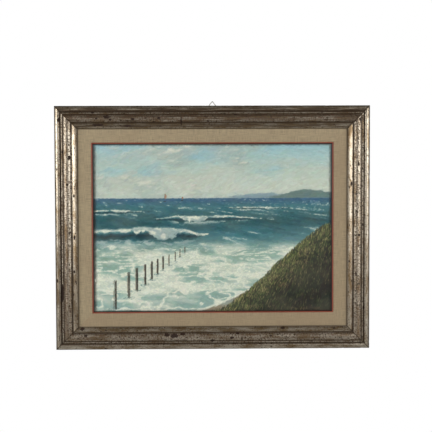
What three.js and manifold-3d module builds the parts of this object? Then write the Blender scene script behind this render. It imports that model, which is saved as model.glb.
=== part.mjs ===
// A framed oil painting: a stretched canvas in a linen-covered slip with a thin
// painted fillet, set into the rabbet of a wide silvered moulding, with a strap
// and a wire ring on its back to hang it by.
//
// Millimetres, +Z up, the picture faces -Y. The origin is on the flat back of
// the hanger's strap, at the middle of the top rail.

import * as THREE from 'three';
import { mergeVertices } from 'three/addons/utils/BufferGeometryUtils.js';
import Module from 'manifold-3d';

const wasm = await Module();
wasm.setup();

// ---------------------------------------------------------------- driving sizes

const GAP = 0.3; // between two pieces that touch
const MITRE_GAP = 0.25; // taken off each rail's length at a mitre

const FRAME = { width: 845, height: 655, face: 61.5 };
const RABBET = { width: 7, ceiling: 24 };
const LINER = { visible: 37, thickness: 14, clearance: 0.5, edgeRound: 1.2 };
const FILLET = { width: 4.8 };
const CANVAS = { width: 650, height: 460, thickness: 1 };
const STRETCHER = { width: 45, thickness: 17, chamfer: 3, inset: 1 };

const STRAP = { width: 14, layer: 1, below: 18, above: 12, slant: 3 };
const RING = { wire: 1.1, base: 38, height: 25, round: 3 };
const SCREW = { head: 3.2, shank: 1.5, length: 16, highest: 4.8, lowest: -12.2, sides: 12 };
const HANGER_DROP = 28; // from the frame's top edge down to the origin

// Sizes that follow from them. A section is drawn as t, the distance in from the
// frame's outer edge, and h, the height above the plane of the rails' backs.

const STRAP_THICKNESS = 2 * STRAP.layer;
const BACK_Y = -(STRAP_THICKNESS + GAP); // the plane of the rails' backs
const LINER_FACE = RABBET.ceiling - GAP;
const LINER_BACK = LINER_FACE - LINER.thickness;
const LINER_OUTER = FRAME.face - RABBET.width + LINER.clearance;
const LINER_INNER = FRAME.face + LINER.visible;
const CANVAS_EDGE = (FRAME.width - CANVAS.width) / 2;
const CANVAS_TOP = LINER_FACE - 5.2;
const STRETCHER_TOP = CANVAS_TOP - CANVAS.thickness - GAP;

// ---------------------------------------------------------------- materials

function material(color, roughness, metalness) {
  return new THREE.MeshStandardMaterial({ color, roughness, metalness });
}

const silverLeaf = material(0xa89a84, 0.45, 0.6);
const linen = material(0x98896e, 0.95, 0);
const redFillet = material(0x7a4536, 0.5, 0.1);
const paintedCanvas = material(0x7f9a98, 0.5, 0);
const bareWood = material(0xa88a62, 0.8, 0);
const steel = material(0x6e6a62, 0.4, 0.9);

// ---------------------------------------------------------------- sections

/** Points of an arc from one point to the next that rises by `rise` at its middle. */
function arc(from, to, rise, steps) {
  const chord = new THREE.Vector2().subVectors(to, from);
  const half = chord.length() / 2;
  const radius = (half * half + rise * rise) / (2 * Math.abs(rise));
  const side = Math.sign(rise);
  const normal = new THREE.Vector2(-chord.y, chord.x).normalize();
  const middle = new THREE.Vector2().addVectors(from, to).multiplyScalar(0.5);
  const centre = middle.addScaledVector(normal, rise - side * radius);
  const start = Math.atan2(from.y - centre.y, from.x - centre.x);
  const sweep = 2 * Math.asin(Math.min(1, half / radius)) * -side;
  const points = [];
  for (let i = 1; i <= steps; i += 1) {
    const angle = start + (sweep * i) / steps;
    points.push(new THREE.Vector2(
      centre.x + radius * Math.cos(angle),
      centre.y + radius * Math.sin(angle),
    ));
  }
  return points;
}

/** A closed outline from [t, h] points; a third number bows the line to that point. */
function outline(corners, steps = 8) {
  const points = [];
  for (const [t, h, rise = 0] of corners) {
    const next = new THREE.Vector2(t, h);
    const last = points[points.length - 1];
    if (rise === 0) points.push(next);
    else points.push(...arc(last, next, rise, steps));
  }
  return points;
}

/** The wide moulding: bead, groove, fillet, cove, broad torus, groove, inner member. */
function mouldingSection() {
  const rabbetWall = FRAME.face - RABBET.width;
  return outline([
    [1, 0], [0, 1],
    [0, 21.5],
    [11, 28.8, 2.4], [14.2, 25.2, 1.2], // the outer bead, steeper on its inner side
    [17, 24.8, -0.6], // the groove behind it
    [17.9, 25.8], [18.6, 28],
    [20.6, 28, 0.4], // the thin fillet
    [21.5, 27.2],
    [24.4, 29.6, -0.6], // the cove at the foot of the torus
    [43.4, 29.2, 4.4], // the torus
    [46, 27, -0.7], // the inner groove
    [55.2, 31, 0.6], [57, 30.6, 0.3], // the inner member rises towards the picture
    [FRAME.face, 25], // and falls steeply to the sight edge
    [FRAME.face, RABBET.ceiling],
    [rabbetWall, RABBET.ceiling],
    [rabbetWall, 0],
  ]);
}

/** The slip: a flat board with eased edges and a rabbet for the canvas behind it. */
function linerSection() {
  const ease = LINER.edgeRound;
  const canvasWall = CANVAS_EDGE - LINER.clearance;
  return outline([
    [LINER_OUTER, LINER_BACK],
    [LINER_OUTER, LINER_FACE - ease],
    [LINER_OUTER + ease, LINER_FACE, 0.3],
    [LINER_INNER - GAP - ease, LINER_FACE],
    [LINER_INNER - GAP, LINER_FACE - ease, 0.3],
    [LINER_INNER - GAP, CANVAS_TOP + GAP],
    [canvasWall, CANVAS_TOP + GAP],
    [canvasWall, LINER_BACK],
  ], 4);
}

/** The painted fillet: a small crest beside the linen, then a slope to the canvas. */
function filletSection() {
  const foot = CANVAS_TOP + GAP;
  const inner = LINER_INNER + FILLET.width;
  return outline([
    [LINER_INNER, foot],
    [LINER_INNER, LINER_FACE - 0.4],
    [LINER_INNER + 1.8, LINER_FACE + 0.2, 0.7],
    [inner - 0.5, foot + 1.1, -0.3],
    [inner, foot + 0.6],
    [inner, foot],
  ], 6);
}

/** A stretcher bar: its canvas side is chamfered away from the canvas. */
function stretcherSection() {
  const outer = CANVAS_EDGE + STRETCHER.inset;
  const inner = CANVAS_EDGE + STRETCHER.width;
  const back = STRETCHER_TOP - STRETCHER.thickness;
  return outline([
    [outer, back],
    [outer, STRETCHER_TOP],
    [outer + 6, STRETCHER_TOP],
    [inner - 2, STRETCHER_TOP - STRETCHER.chamfer],
    [inner, STRETCHER_TOP - STRETCHER.chamfer - 2, 0.5],
    [inner, back],
  ], 3);
}

// ---------------------------------------------------------------- making pieces

// Turns an extrusion so that it runs along X, with its outline in the Y-Z plane.
const ALONG_X = new THREE.Matrix4().makeBasis(
  new THREE.Vector3(0, 1, 0),
  new THREE.Vector3(0, 0, 1),
  new THREE.Vector3(1, 0, 0),
);

/** A rail as it lies at the top of the frame, mitred at both ends. */
function mitredRail(section, length) {
  const shape = new THREE.Shape(section.map((p) => new THREE.Vector2(-p.y, -p.x)));
  const geometry = new THREE.ExtrudeGeometry(shape, { depth: length, bevelEnabled: false });
  const place = geometry.attributes.position;
  for (let i = 0; i < place.count; i += 1) {
    const end = place.getZ(i) > length / 2 ? 1 : -1;
    const distanceIn = -place.getY(i);
    place.setZ(i, end * (length / 2 - distanceIn - MITRE_GAP));
  }
  return geometry.applyMatrix4(ALONG_X);
}

/** The shape alone, with its shared corners merged, for the solid library. */
function toSolid(geometry) {
  const bare = geometry.clone();
  bare.deleteAttribute('normal');
  bare.deleteAttribute('uv');
  const merged = mergeVertices(bare, 1e-4);
  return new wasm.Manifold(new wasm.Mesh({
    numProp: 3,
    vertProperties: new Float32Array(merged.attributes.position.array),
    triVerts: new Uint32Array(merged.index.array),
  }));
}

function fromSolid(solid) {
  const mesh = solid.getMesh();
  const geometry = new THREE.BufferGeometry();
  geometry.setAttribute('position', new THREE.BufferAttribute(mesh.vertProperties, 3));
  geometry.setIndex(new THREE.BufferAttribute(mesh.triVerts, 1));
  geometry.computeVertexNormals();
  return geometry;
}

function cut(geometry, tools) {
  let solid = toSolid(geometry);
  for (const tool of tools) solid = solid.subtract(toSolid(tool));
  return fromSolid(solid);
}

function piece(name, geometry, finish) {
  const mesh = new THREE.Mesh(geometry, finish);
  mesh.name = name;
  return mesh;
}

// ---------------------------------------------------------------- the hanger

/** A countersunk screw's turned outline, driven along -Y, `grow` larger all round. */
function screwGeometry(grow) {
  const sink = SCREW.head - SCREW.shank;
  const top = grow > 0 ? 1 : -0.1;
  const profile = [
    [0, top],
    [SCREW.head + grow, top],
    [SCREW.head + grow, -0.1 - grow * 0.4],
    [SCREW.shank + grow, -0.1 - sink - grow * 0.4],
    [SCREW.shank + grow, -SCREW.length - grow],
    [0, -SCREW.length - grow],
  ].map(([radius, y]) => new THREE.Vector2(radius, y)).reverse();
  return new THREE.LatheGeometry(profile, SCREW.sides);
}

const SCREW_HEIGHTS = [SCREW.highest, SCREW.lowest];

function screwHoles() {
  return SCREW_HEIGHTS.map((z) => screwGeometry(GAP).translate(0, 0, z));
}

// The wire runs through the eye at the strap's fold.
const EYE_RADIUS = RING.wire + GAP + STRAP.layer;
const EYE_Y = EYE_RADIUS - STRAP_THICKNESS;
const EYE_Z = STRAP.above + EYE_RADIUS + 1;

/** A metal strip folded round the wire, its two layers pressed flat below it. */
function strapGeometry() {
  const fold = new THREE.Shape();
  const leave = -Math.PI * 0.28;
  fold.moveTo(-STRAP_THICKNESS, -STRAP.below);
  fold.lineTo(0, -STRAP.below);
  fold.lineTo(0, STRAP.above - STRAP.slant);
  fold.absarc(EYE_Y, EYE_Z, EYE_RADIUS, leave, Math.PI, false);
  fold.closePath();
  const eye = new THREE.Path();
  eye.absarc(EYE_Y, EYE_Z, RING.wire + GAP, 0, Math.PI * 2, true);
  fold.holes.push(eye);
  const strip = new THREE.ExtrudeGeometry(fold, {
    depth: STRAP.width, bevelEnabled: false, curveSegments: 10,
  });
  strip.translate(0, 0, -STRAP.width / 2).applyMatrix4(ALONG_X);
  return cut(strip, screwHoles());
}

/** The wire ring's route: a triangle on its base, its corners rounded. */
function ringRoute() {
  const corners = [
    new THREE.Vector3(-RING.base / 2, EYE_Y, EYE_Z),
    new THREE.Vector3(RING.base / 2, EYE_Y, EYE_Z),
    new THREE.Vector3(0, EYE_Y, EYE_Z + RING.height),
  ];
  const route = new THREE.CurvePath();
  const ends = corners.map((corner, i) => {
    const before = corners[(i + 2) % 3];
    const after = corners[(i + 1) % 3];
    const step = (other) => corner.clone().lerp(other, RING.round / corner.distanceTo(other));
    return { corner, arrive: step(before), leave: step(after) };
  });
  ends.forEach(({ corner, arrive, leave }, i) => {
    route.add(new THREE.QuadraticBezierCurve3(arrive, corner, leave));
    route.add(new THREE.LineCurve3(leave, ends[(i + 1) % 3].arrive));
  });
  return route;
}

/** The wire itself: rings of points round the route, closed on themselves. */
function ringGeometry() {
  const sides = 10;
  const route = ringRoute();
  const middles = [];
  for (const curve of route.curves) {
    const steps = curve.isLineCurve3 ? 3 : 6;
    for (let i = 0; i < steps; i += 1) middles.push(curve.getPoint(i / steps));
  }
  const count = middles.length;
  const points = [];
  const faces = [];
  const across = new THREE.Vector3(0, 1, 0);
  middles.forEach((middle, i) => {
    const before = middles[(i + count - 1) % count];
    const after = middles[(i + 1) % count];
    const along = new THREE.Vector3().subVectors(after, before).normalize();
    const outward = new THREE.Vector3().crossVectors(along, across);
    for (let k = 0; k < sides; k += 1) {
      const angle = (2 * Math.PI * k) / sides;
      const point = middle.clone()
        .addScaledVector(outward, RING.wire * Math.cos(angle))
        .addScaledVector(across, RING.wire * Math.sin(angle));
      points.push(point.x, point.y, point.z);
      const next = (i + 1) % count;
      const turn = (k + 1) % sides;
      const a = i * sides + k;
      const b = i * sides + turn;
      const c = next * sides + k;
      const d = next * sides + turn;
      faces.push(a, d, b, a, c, d);
    }
  });
  const geometry = new THREE.BufferGeometry();
  geometry.setAttribute('position', new THREE.Float32BufferAttribute(points, 3));
  geometry.setIndex(faces);
  geometry.computeVertexNormals();
  return geometry;
}

function makeHanger() {
  const hanger = new THREE.Group();
  hanger.add(piece('hanger_strap', strapGeometry(), steel));
  hanger.add(piece('hanger_ring', ringGeometry(), steel));
  SCREW_HEIGHTS.forEach((z, i) => {
    const screw = piece(`hanger_screw_${i + 1}`, screwGeometry(0), steel);
    screw.position.set(0, 0, z);
    hanger.add(screw);
  });
  return hanger;
}

// ---------------------------------------------------------------- the picture

const SIDES = ['top', 'right', 'bottom', 'left'];

/** Four mitred rails round the picture; `finishTop` may rework the top one. */
function railSet(name, section, finish, finishTop = (geometry) => geometry) {
  const set = new THREE.Group();
  SIDES.forEach((side, i) => {
    const upright = i % 2 === 1;
    const length = upright ? FRAME.height : FRAME.width;
    const reach = (upright ? FRAME.width : FRAME.height) / 2;
    const rail = mitredRail(section, length).translate(0, 0, reach);
    const mesh = piece(`${name}_${side}`, i === 0 ? finishTop(rail) : rail, finish);
    mesh.rotation.y = (i * Math.PI) / 2;
    set.add(mesh);
  });
  return set;
}

/** The top rail has the two screws' holes in its back. */
function drillForScrews(rail) {
  const backZ = FRAME.height / 2 - HANGER_DROP;
  const holes = screwHoles().map((hole) => hole.translate(0, -BACK_Y, backZ));
  return cut(rail, holes);
}

function makeCanvas() {
  const sheet = new THREE.BoxGeometry(CANVAS.width, CANVAS.thickness, CANVAS.height);
  const canvas = piece('canvas', sheet, paintedCanvas);
  canvas.position.y = -(CANVAS_TOP - CANVAS.thickness / 2);
  return canvas;
}

function makePicture() {
  const picture = new THREE.Group();
  picture.add(railSet('frame', mouldingSection(), silverLeaf, drillForScrews));
  picture.add(railSet('liner', linerSection(), linen));
  picture.add(railSet('fillet', filletSection(), redFillet));
  picture.add(railSet('stretcher', stretcherSection(), bareWood));
  picture.add(makeCanvas());
  picture.position.set(0, BACK_Y, HANGER_DROP - FRAME.height / 2);
  return picture;
}

const group = new THREE.Group();
group.add(makePicture());
group.add(makeHanger());

export default group;
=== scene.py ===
# %% [markdown]
# # A framed oil painting
#
# The real object is a seascape in oils on a stretched canvas. It sits in a flat slip covered
# with linen, and the slip sits in a wide wooden moulding with aged silver leaf. This lesson
# dresses the plain solids of such a picture: it models the moulding with its wear, the cloth,
# the paint and the back, and gives each one its finish.
#
# They say where every piece is, so no size is guessed.

# %% Load the solids
import math
from contextlib import contextmanager
from functools import reduce
from types import SimpleNamespace

import bpy
import numpy as np
from mathutils import Matrix, Vector


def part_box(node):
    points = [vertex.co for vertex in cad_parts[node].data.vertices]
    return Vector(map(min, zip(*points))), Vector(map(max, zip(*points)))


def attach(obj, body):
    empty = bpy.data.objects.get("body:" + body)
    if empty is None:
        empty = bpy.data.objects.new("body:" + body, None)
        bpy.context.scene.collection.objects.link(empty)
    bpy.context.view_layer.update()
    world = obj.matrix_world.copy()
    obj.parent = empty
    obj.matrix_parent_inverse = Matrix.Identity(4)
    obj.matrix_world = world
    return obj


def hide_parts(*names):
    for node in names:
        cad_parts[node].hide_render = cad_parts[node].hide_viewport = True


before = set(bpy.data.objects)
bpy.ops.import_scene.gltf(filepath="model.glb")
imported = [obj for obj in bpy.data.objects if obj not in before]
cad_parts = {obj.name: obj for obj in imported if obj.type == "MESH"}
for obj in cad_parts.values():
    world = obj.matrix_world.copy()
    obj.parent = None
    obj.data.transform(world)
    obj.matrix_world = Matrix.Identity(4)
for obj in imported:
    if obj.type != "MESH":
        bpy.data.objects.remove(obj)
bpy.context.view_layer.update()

# %% [markdown]
# ## Sizes
#
# Every place is worked out from the boxes of the solids. The picture faces -Y. The distance in
# front of the rails' backs is called a height here, as on a frame that lies face up on the
# bench, and the distance in from the frame's outer edge is called `inward`. A section is drawn
# in those two, in millimetres.

# %% Sizes from the solids
MM = 0.001
SIDES = ("top", "right", "bottom", "left")

top_low, top_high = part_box("frame_top")
FRAME_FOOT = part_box("frame_bottom")[0].z
FRAME_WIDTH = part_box("frame_right")[1].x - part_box("frame_left")[0].x
FRAME_HEIGHT = top_high.z - FRAME_FOOT
BACK_Y = top_high.y
CENTRE = Vector((0, BACK_Y, (top_high.z + FRAME_FOOT) / 2))
FACE = (top_high.z - top_low.z) / MM
JOINT = 0.03  # what a glued mitre still shows as a line, on each side

canvas_low, canvas_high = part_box("canvas")
CANVAS_WIDTH = (canvas_high.x - canvas_low.x) / MM
CANVAS_HEIGHT = (canvas_high.z - canvas_low.z) / MM
CANVAS_FRONT = (BACK_Y - canvas_low.y) / MM
CANVAS_EDGE = (FRAME_WIDTH / MM - CANVAS_WIDTH) / 2


def section_of(node):
    """What a solid at the top takes up in its section: outer and inner edge, back and face."""
    low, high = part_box(node)
    edges = top_high.z - high.z, top_high.z - low.z
    return [v / MM for v in (*edges, BACK_Y - high.y, BACK_Y - low.y)]


print(f"frame {FRAME_WIDTH:.3f} x {FRAME_HEIGHT:.3f} m, moulding {FACE:.1f} mm wide")
print(f"canvas {CANVAS_WIDTH:.0f} x {CANVAS_HEIGHT:.0f} mm")

# %% [markdown]
# ## Camera and light
#
# A picture is shown from almost straight in front with a long lens, so that its edges stay
# square. Two large soft lights stand at either side: a metal moulding shows bright where its
# slopes face them, and the rails above and below, which face the dark ceiling and floor, stay
# dark. That difference between the rails is what makes the leaf look like metal. A smaller
# light, like a tall window, adds sharper highlights, and two weak ones fill in front and behind.

# %% Camera
EYE = (-0.0571, -3.242, -0.0998)
LENS = 100
TURN, TILT, ROLL = (math.radians(angle) for angle in (1.171, -2.984, -0.172))


def in_scene(name, data):
    """A new object of the scene that shows that data."""
    placed = bpy.data.objects.new(name, data)
    bpy.context.scene.collection.objects.link(placed)
    return placed


camera = in_scene("camera", bpy.data.cameras.new("camera"))
camera.data.lens = LENS
ahead = Vector((math.sin(TURN) * math.cos(TILT), math.cos(TURN) * math.cos(TILT), math.sin(TILT)))
facing = ahead.to_track_quat("-Z", "Y").to_matrix() @ Matrix.Rotation(ROLL, 3, "Z")
camera.location = EYE
camera.rotation_euler = facing.to_euler()
bpy.context.scene.camera = camera
bpy.context.scene.view_settings.view_transform = "Standard"
print("the camera stands", round((camera.location - CENTRE).length, 2), "m away")


# %% Lights
def soft_light(name, place, size, power):
    """A flat light of that size, placed from the picture's middle and turned to face it."""
    light = in_scene(name, bpy.data.lights.new(name, "AREA"))
    light.data.shape = "RECTANGLE"
    light.data.size, light.data.size_y = size
    light.data.energy = power
    light.location = CENTRE + Vector(place)
    light.rotation_euler = (-Vector(place)).to_track_quat("-Z", "Y").to_euler()


soft_light("light_left", (-1.95, -1.5, 0.5), (1.5, 1.3), 55)
soft_light("light_right", (1.95, -1.5, 0.5), (1.5, 1.3), 43)
soft_light("light_window", (1.3, -2.2, 0.6), (0.6, 1.2), 9)
soft_light("light_front", (0, -2.8, -0.35), (1.6, 0.4), 3.5)
soft_light("light_behind", (0.6, 2.2, 1.2), (1.2, 1.2), 24)
print("five lights")

# %% [markdown]
# ## Backdrop and floor
#
# The backdrop is plain white, but only for the camera: the leaf reflects a dim grey room
# instead, or the dark rails would turn white too. The floor lies well below the hung picture.

# %% The room
WHITE, ROOM_GREY = (1, 1, 1, 1), (0.016, 0.015, 0.013, 1)
world = bpy.data.worlds.new("studio")
bpy.context.scene.world = world
world.use_nodes = True
room = world.node_tree
backdrop = room.nodes.new("ShaderNodeMix")
backdrop.data_type = "RGBA"
backdrop.inputs[6].default_value = ROOM_GREY
backdrop.inputs[7].default_value = WHITE
seen_by = room.nodes.new("ShaderNodeLightPath")
room.links.new(seen_by.outputs["Is Camera Ray"], backdrop.inputs[0])
room.links.new(backdrop.outputs[2], room.nodes["Background"].inputs["Color"])

# %% The floor
FLOOR_SIZE, FLOOR_BELOW = 3.2, 1.1
bpy.ops.object.select_all(action="DESELECT")
bpy.ops.mesh.primitive_plane_add(size=FLOOR_SIZE, location=(0, 0, FRAME_FOOT - FLOOR_BELOW))
floor = bpy.context.object
floor.name = "floor"
floor_paint = bpy.data.materials.new("floor_paint")
floor_paint.use_nodes = True
floor_shader = floor_paint.node_tree.nodes["Principled BSDF"]
floor_shader.inputs["Base Color"].default_value = (0.8, 0.8, 0.79, 1)
floor_shader.inputs["Roughness"].default_value = 0.9
floor.data.materials.append(floor_paint)
print("the floor lies", FLOOR_BELOW, "m below the frame")

# %% [markdown]
# ## The moulding's outline
#
# A frame maker buys the moulding by the length, so its section is the same all along. It is
# drawn once as a list of corners. A third number bows the line that leads to a corner into an
# arc, by that many millimetres at its middle: a bead bows out, a cove bows in.
#
# The outline could be traced from the solid, but its arcs have few steps there. It is drawn
# again with fine ones, because the leaf shows every facet in its highlights.


# %% Drawing an outline
def arc(start, end, rise, step):
    """Points from start to end, bowed out by rise at the middle, without the start."""
    start, end = np.array(start, float), np.array(end, float)
    chord = end - start
    half = np.linalg.norm(chord) / 2
    if rise == 0:
        count = max(1, math.ceil(2 * half / step))
        return [start + chord * i / count for i in range(1, count + 1)]
    radius = (half**2 + rise**2) / (2 * abs(rise))
    normal = np.array((-chord[1], chord[0])) / (2 * half)
    middle = (start + end) / 2 + normal * (rise - math.copysign(radius, rise))
    first = math.atan2(*(start - middle)[::-1])
    sweep = -math.copysign(2 * math.asin(min(1, half / radius)), rise)
    count = max(3, math.ceil(radius * abs(sweep) / step))
    angles = [first + sweep * i / count for i in range(1, count + 1)]
    return [middle + radius * np.array((math.cos(a), math.sin(a))) for a in angles]


def outline(corners, step):
    """A closed outline from (inward, height) corners, with points about step apart."""
    points = [np.array(corners[0][:2], float)]
    for corner in corners[1:]:
        rise = corner[2] if len(corner) > 2 else 0
        points += arc(points[-1], corner[:2], rise, step)
    return np.array(points)


RABBET_WALL, RABBET_CEILING = FACE - 7, 24
MOULDING = outline((
    (1, 0), (0, 1),
    (0, 21.5),
    (11, 28.8, 2.4), (14.2, 25.2, 1.2),  # the outer bead, steeper on its inner side
    (17, 24.8, -0.6),  # the groove behind it
    (17.9, 25.8), (18.6, 28),
    (20.6, 28, 0.4),  # the thin fillet
    (21.5, 27.2),
    (24.4, 29.6, -0.6),  # the cove at the foot of the torus
    (43.4, 29.2, 4.4),  # the torus
    (46, 27, -0.7),  # the inner groove
    (55.2, 31, 0.6), (57, 30.6, 0.3),  # the inner member rises towards the picture
    (FACE, 25),  # and falls steeply to the sight edge
    (FACE, RABBET_CEILING),
    (RABBET_WALL, RABBET_CEILING), (RABBET_WALL, 0),
), step=1.0)
print(len(MOULDING), "points round the moulding")


# %% [markdown]
# ## From an outline to a mitred rail
#
# A rail is made as it would be by hand. A circle gets as many points as the outline has, and
# they are laid on it. The circle is extruded along the rail's length, and both ends are pushed
# over to 45 degrees for the mitre. Then the ends are filled, and the long edges are
# subdivided, because the dents and the leaf's unevenness need small faces.
#
# Two measures travel with the mesh as attributes, since Blender carries an attribute through
# an extrusion and a subdivision: `inward`, and `hollow`, which says how deep in a groove a
# point lies. Dirt gathers where it is high, and rubbing takes the leaf off where it is low.


# %% Small helpers for editing
def start_alone(*pieces):
    """Leaves only these pieces selected, because an operator acts on all that is."""
    if bpy.context.object and bpy.context.object.mode != "OBJECT":
        bpy.ops.object.mode_set(mode="OBJECT")
    bpy.ops.object.select_all(action="DESELECT")
    for piece in pieces:
        piece.select_set(True)
    if pieces:
        bpy.context.view_layer.objects.active = pieces[0]


@contextmanager
def editing(select=None):
    """Edit mode for the lines under it, with all or nothing selected if that is given."""
    bpy.ops.object.mode_set(mode="EDIT")
    if select:
        bpy.ops.mesh.select_all(action=select)
    yield
    bpy.ops.object.mode_set(mode="OBJECT")


def face_outwards():
    """Turns the whole shape's faces outwards, in edit mode."""
    bpy.ops.mesh.select_all(action="SELECT")
    bpy.ops.mesh.normals_make_consistent(inside=False)


def apply_place(location=True):
    """Puts the active piece's turn and scale, and mostly its place, into its mesh."""
    bpy.ops.object.transform_apply(location=location, rotation=True, scale=True)


def named(name):
    """The piece that was just added, under its name."""
    piece = bpy.context.object
    piece.name = piece.data.name = name
    return piece


# %% Small helpers for points and edges
def positions(piece):
    """A piece's points as an array with a row for each."""
    place = np.empty(len(piece.data.vertices) * 3, np.float32)
    piece.data.vertices.foreach_get("co", place)
    return place.reshape(-1, 3).astype(float)


def put_positions(piece, place):
    piece.data.vertices.foreach_set("co", np.asarray(place, np.float32).ravel())
    piece.data.update()


def put_attribute(piece, name, values):
    """Keeps one number for each point of the piece under that name."""
    kept = piece.data.attributes.new(name, "FLOAT", "POINT")
    kept.data.foreach_set("value", np.asarray(values, np.float32))


def get_attribute(piece, name):
    values = np.empty(len(piece.data.vertices), np.float32)
    piece.data.attributes[name].data.foreach_get("value", values)
    return values.astype(float)


def edge_ends(piece):
    """The numbers of the two points that each edge joins, as two arrays."""
    ends = np.empty(len(piece.data.edges) * 2, np.int32)
    piece.data.edges.foreach_get("vertices", ends)
    return ends[0::2], ends[1::2]


def select_edges(piece, chosen):
    """Selects exactly the edges for which chosen is true."""
    with editing():
        bpy.context.tool_settings.mesh_select_mode = (False, True, False)
        bpy.ops.mesh.select_all(action="DESELECT")
    piece.data.edges.foreach_set("select", chosen)


# %% Extruding an outline into a rail
def hollows(points, reach=5.0):
    """How far each point of an outline lies below the average of its surroundings."""
    apart = np.abs(points[:, None, 0] - points[None, :, 0])
    near = np.exp(-((apart / reach) ** 2)) * (points[None, :, 1] > 0.6 * points[:, 1].max())
    return (near * points[None, :, 1]).sum(1) / np.maximum(near.sum(1), 1e-9) - points[:, 1]


def make_rail(name, points, length, cuts):
    """A rail as it lies at the top of the frame, its outer edge at z = 0, in millimetres."""
    start_alone()
    bpy.ops.mesh.primitive_circle_add(vertices=len(points), radius=1)
    rail = named(name)
    inward, height = points[:, 0], points[:, 1]
    put_positions(rail, np.stack((np.full(len(points), -length / 2), -height, -inward), 1))
    put_attribute(rail, "inward", inward)
    put_attribute(rail, "hollow", hollows(points))

    with editing("SELECT"):
        bpy.ops.mesh.extrude_region_move(TRANSFORM_OT_translate={"value": (length, 0, 0)})
    place = positions(rail)
    place[:, 0] -= np.sign(place[:, 0]) * (get_attribute(rail, "inward") + JOINT)
    put_positions(rail, place)

    for end in (-1, 1):
        one, other = (place[ends, 0] * end > 0 for ends in edge_ends(rail))
        select_edges(rail, one & other)
        with editing():
            bpy.ops.mesh.edge_face_add()
    for number in cuts:
        place = positions(rail)
        one, other = edge_ends(rail)
        lengthwise = np.abs(place[other] - place[one])[:, 1:].sum(axis=1) < 1e-3
        select_edges(rail, lengthwise)
        with editing():
            bpy.ops.mesh.subdivide(number_cuts=number)
    with editing():
        face_outwards()
    return rail


def is_level(side):
    return side in ("top", "bottom")


def side_turn(side):
    """The turn that brings what lies at the top to that side."""
    return Matrix.Rotation(math.radians(90 * SIDES.index(side)), 4, "Y")


def set_in_frame(rail, side):
    """Turns a rail from the top to its own side and puts it in its place, in metres."""
    outward = Matrix.Translation((0, 0, (FRAME_HEIGHT if is_level(side) else FRAME_WIDTH) / 2))
    placed = Matrix.Translation(CENTRE) @ side_turn(side) @ outward
    rail.matrix_world = placed @ Matrix.Scale(MM, 4)
    start_alone(rail)
    apply_place()


def side_length(side):
    return (FRAME_WIDTH if is_level(side) else FRAME_HEIGHT) / MM


# %% [markdown]
# ## Unevenness by number
#
# Wear is never regular, but it must come out the same each time the script runs. Smooth noise
# is made from a whole-number hash of a grid's corners, so it needs no state and no seed kept
# elsewhere. `layered` adds finer and finer noise, as most natural unevenness has it.


# %% Noise
def corner_value(column, row, seed):
    """A number from -1 to 1 that belongs to one corner of the grid."""
    mixed = (column * 374761393 + row * 668265263 + seed * 1442695041) & 0xFFFFFFFF
    mixed = ((mixed ^ (mixed >> 13)) * 1274126177) & 0xFFFFFFFF
    return ((mixed ^ (mixed >> 16)) & 0xFFFF) / 32767.5 - 1


def noise(across, up, seed=0):
    """Smooth noise from -1 to 1, with one bump to each unit of its two coordinates."""
    across, up = np.asarray(across, float), np.asarray(up, float)
    column, row = np.floor(across).astype(np.int64), np.floor(up).astype(np.int64)
    x, y = across - column, up - row
    x, y = x * x * (3 - 2 * x), y * y * (3 - 2 * y)
    low = corner_value(column, row, seed) * (1 - x) + corner_value(column + 1, row, seed) * x
    row = row + 1
    high = corner_value(column, row, seed) * (1 - x) + corner_value(column + 1, row, seed) * x
    return low * (1 - y) + high * y


# %% Layers, steps and bands
def layered(across, up, seed=0, layers=4):
    """Noise with finer noise on it, each layer half as strong and twice as fine."""
    total, share = 0, 0
    for layer in range(layers):
        total = total + noise(across * 2**layer, up * 2**layer, seed + layer) / 2**layer
        share += 1 / 2**layer
    return total / share


def wavy(value, size, seed):
    """Layered noise along one measure alone, with bumps of that size."""
    value = np.asarray(value, float) / size
    return layered(value, value * 0, seed)


def ease(value, low, high):
    """0 below low, 1 above high, and a smooth step between them. Low may be the larger."""
    share = np.clip((value - low) / (high - low), 0, 1)
    return share * share * (3 - 2 * share)


def close_to(value, middle, reach, core):
    """1 within core of the middle, and from there down to 0 where it is reach away."""
    return ease(np.abs(value - middle), reach, core)


print("noise at one place, the same every time:", round(float(noise(0.5, 0.5)), 3))
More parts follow.
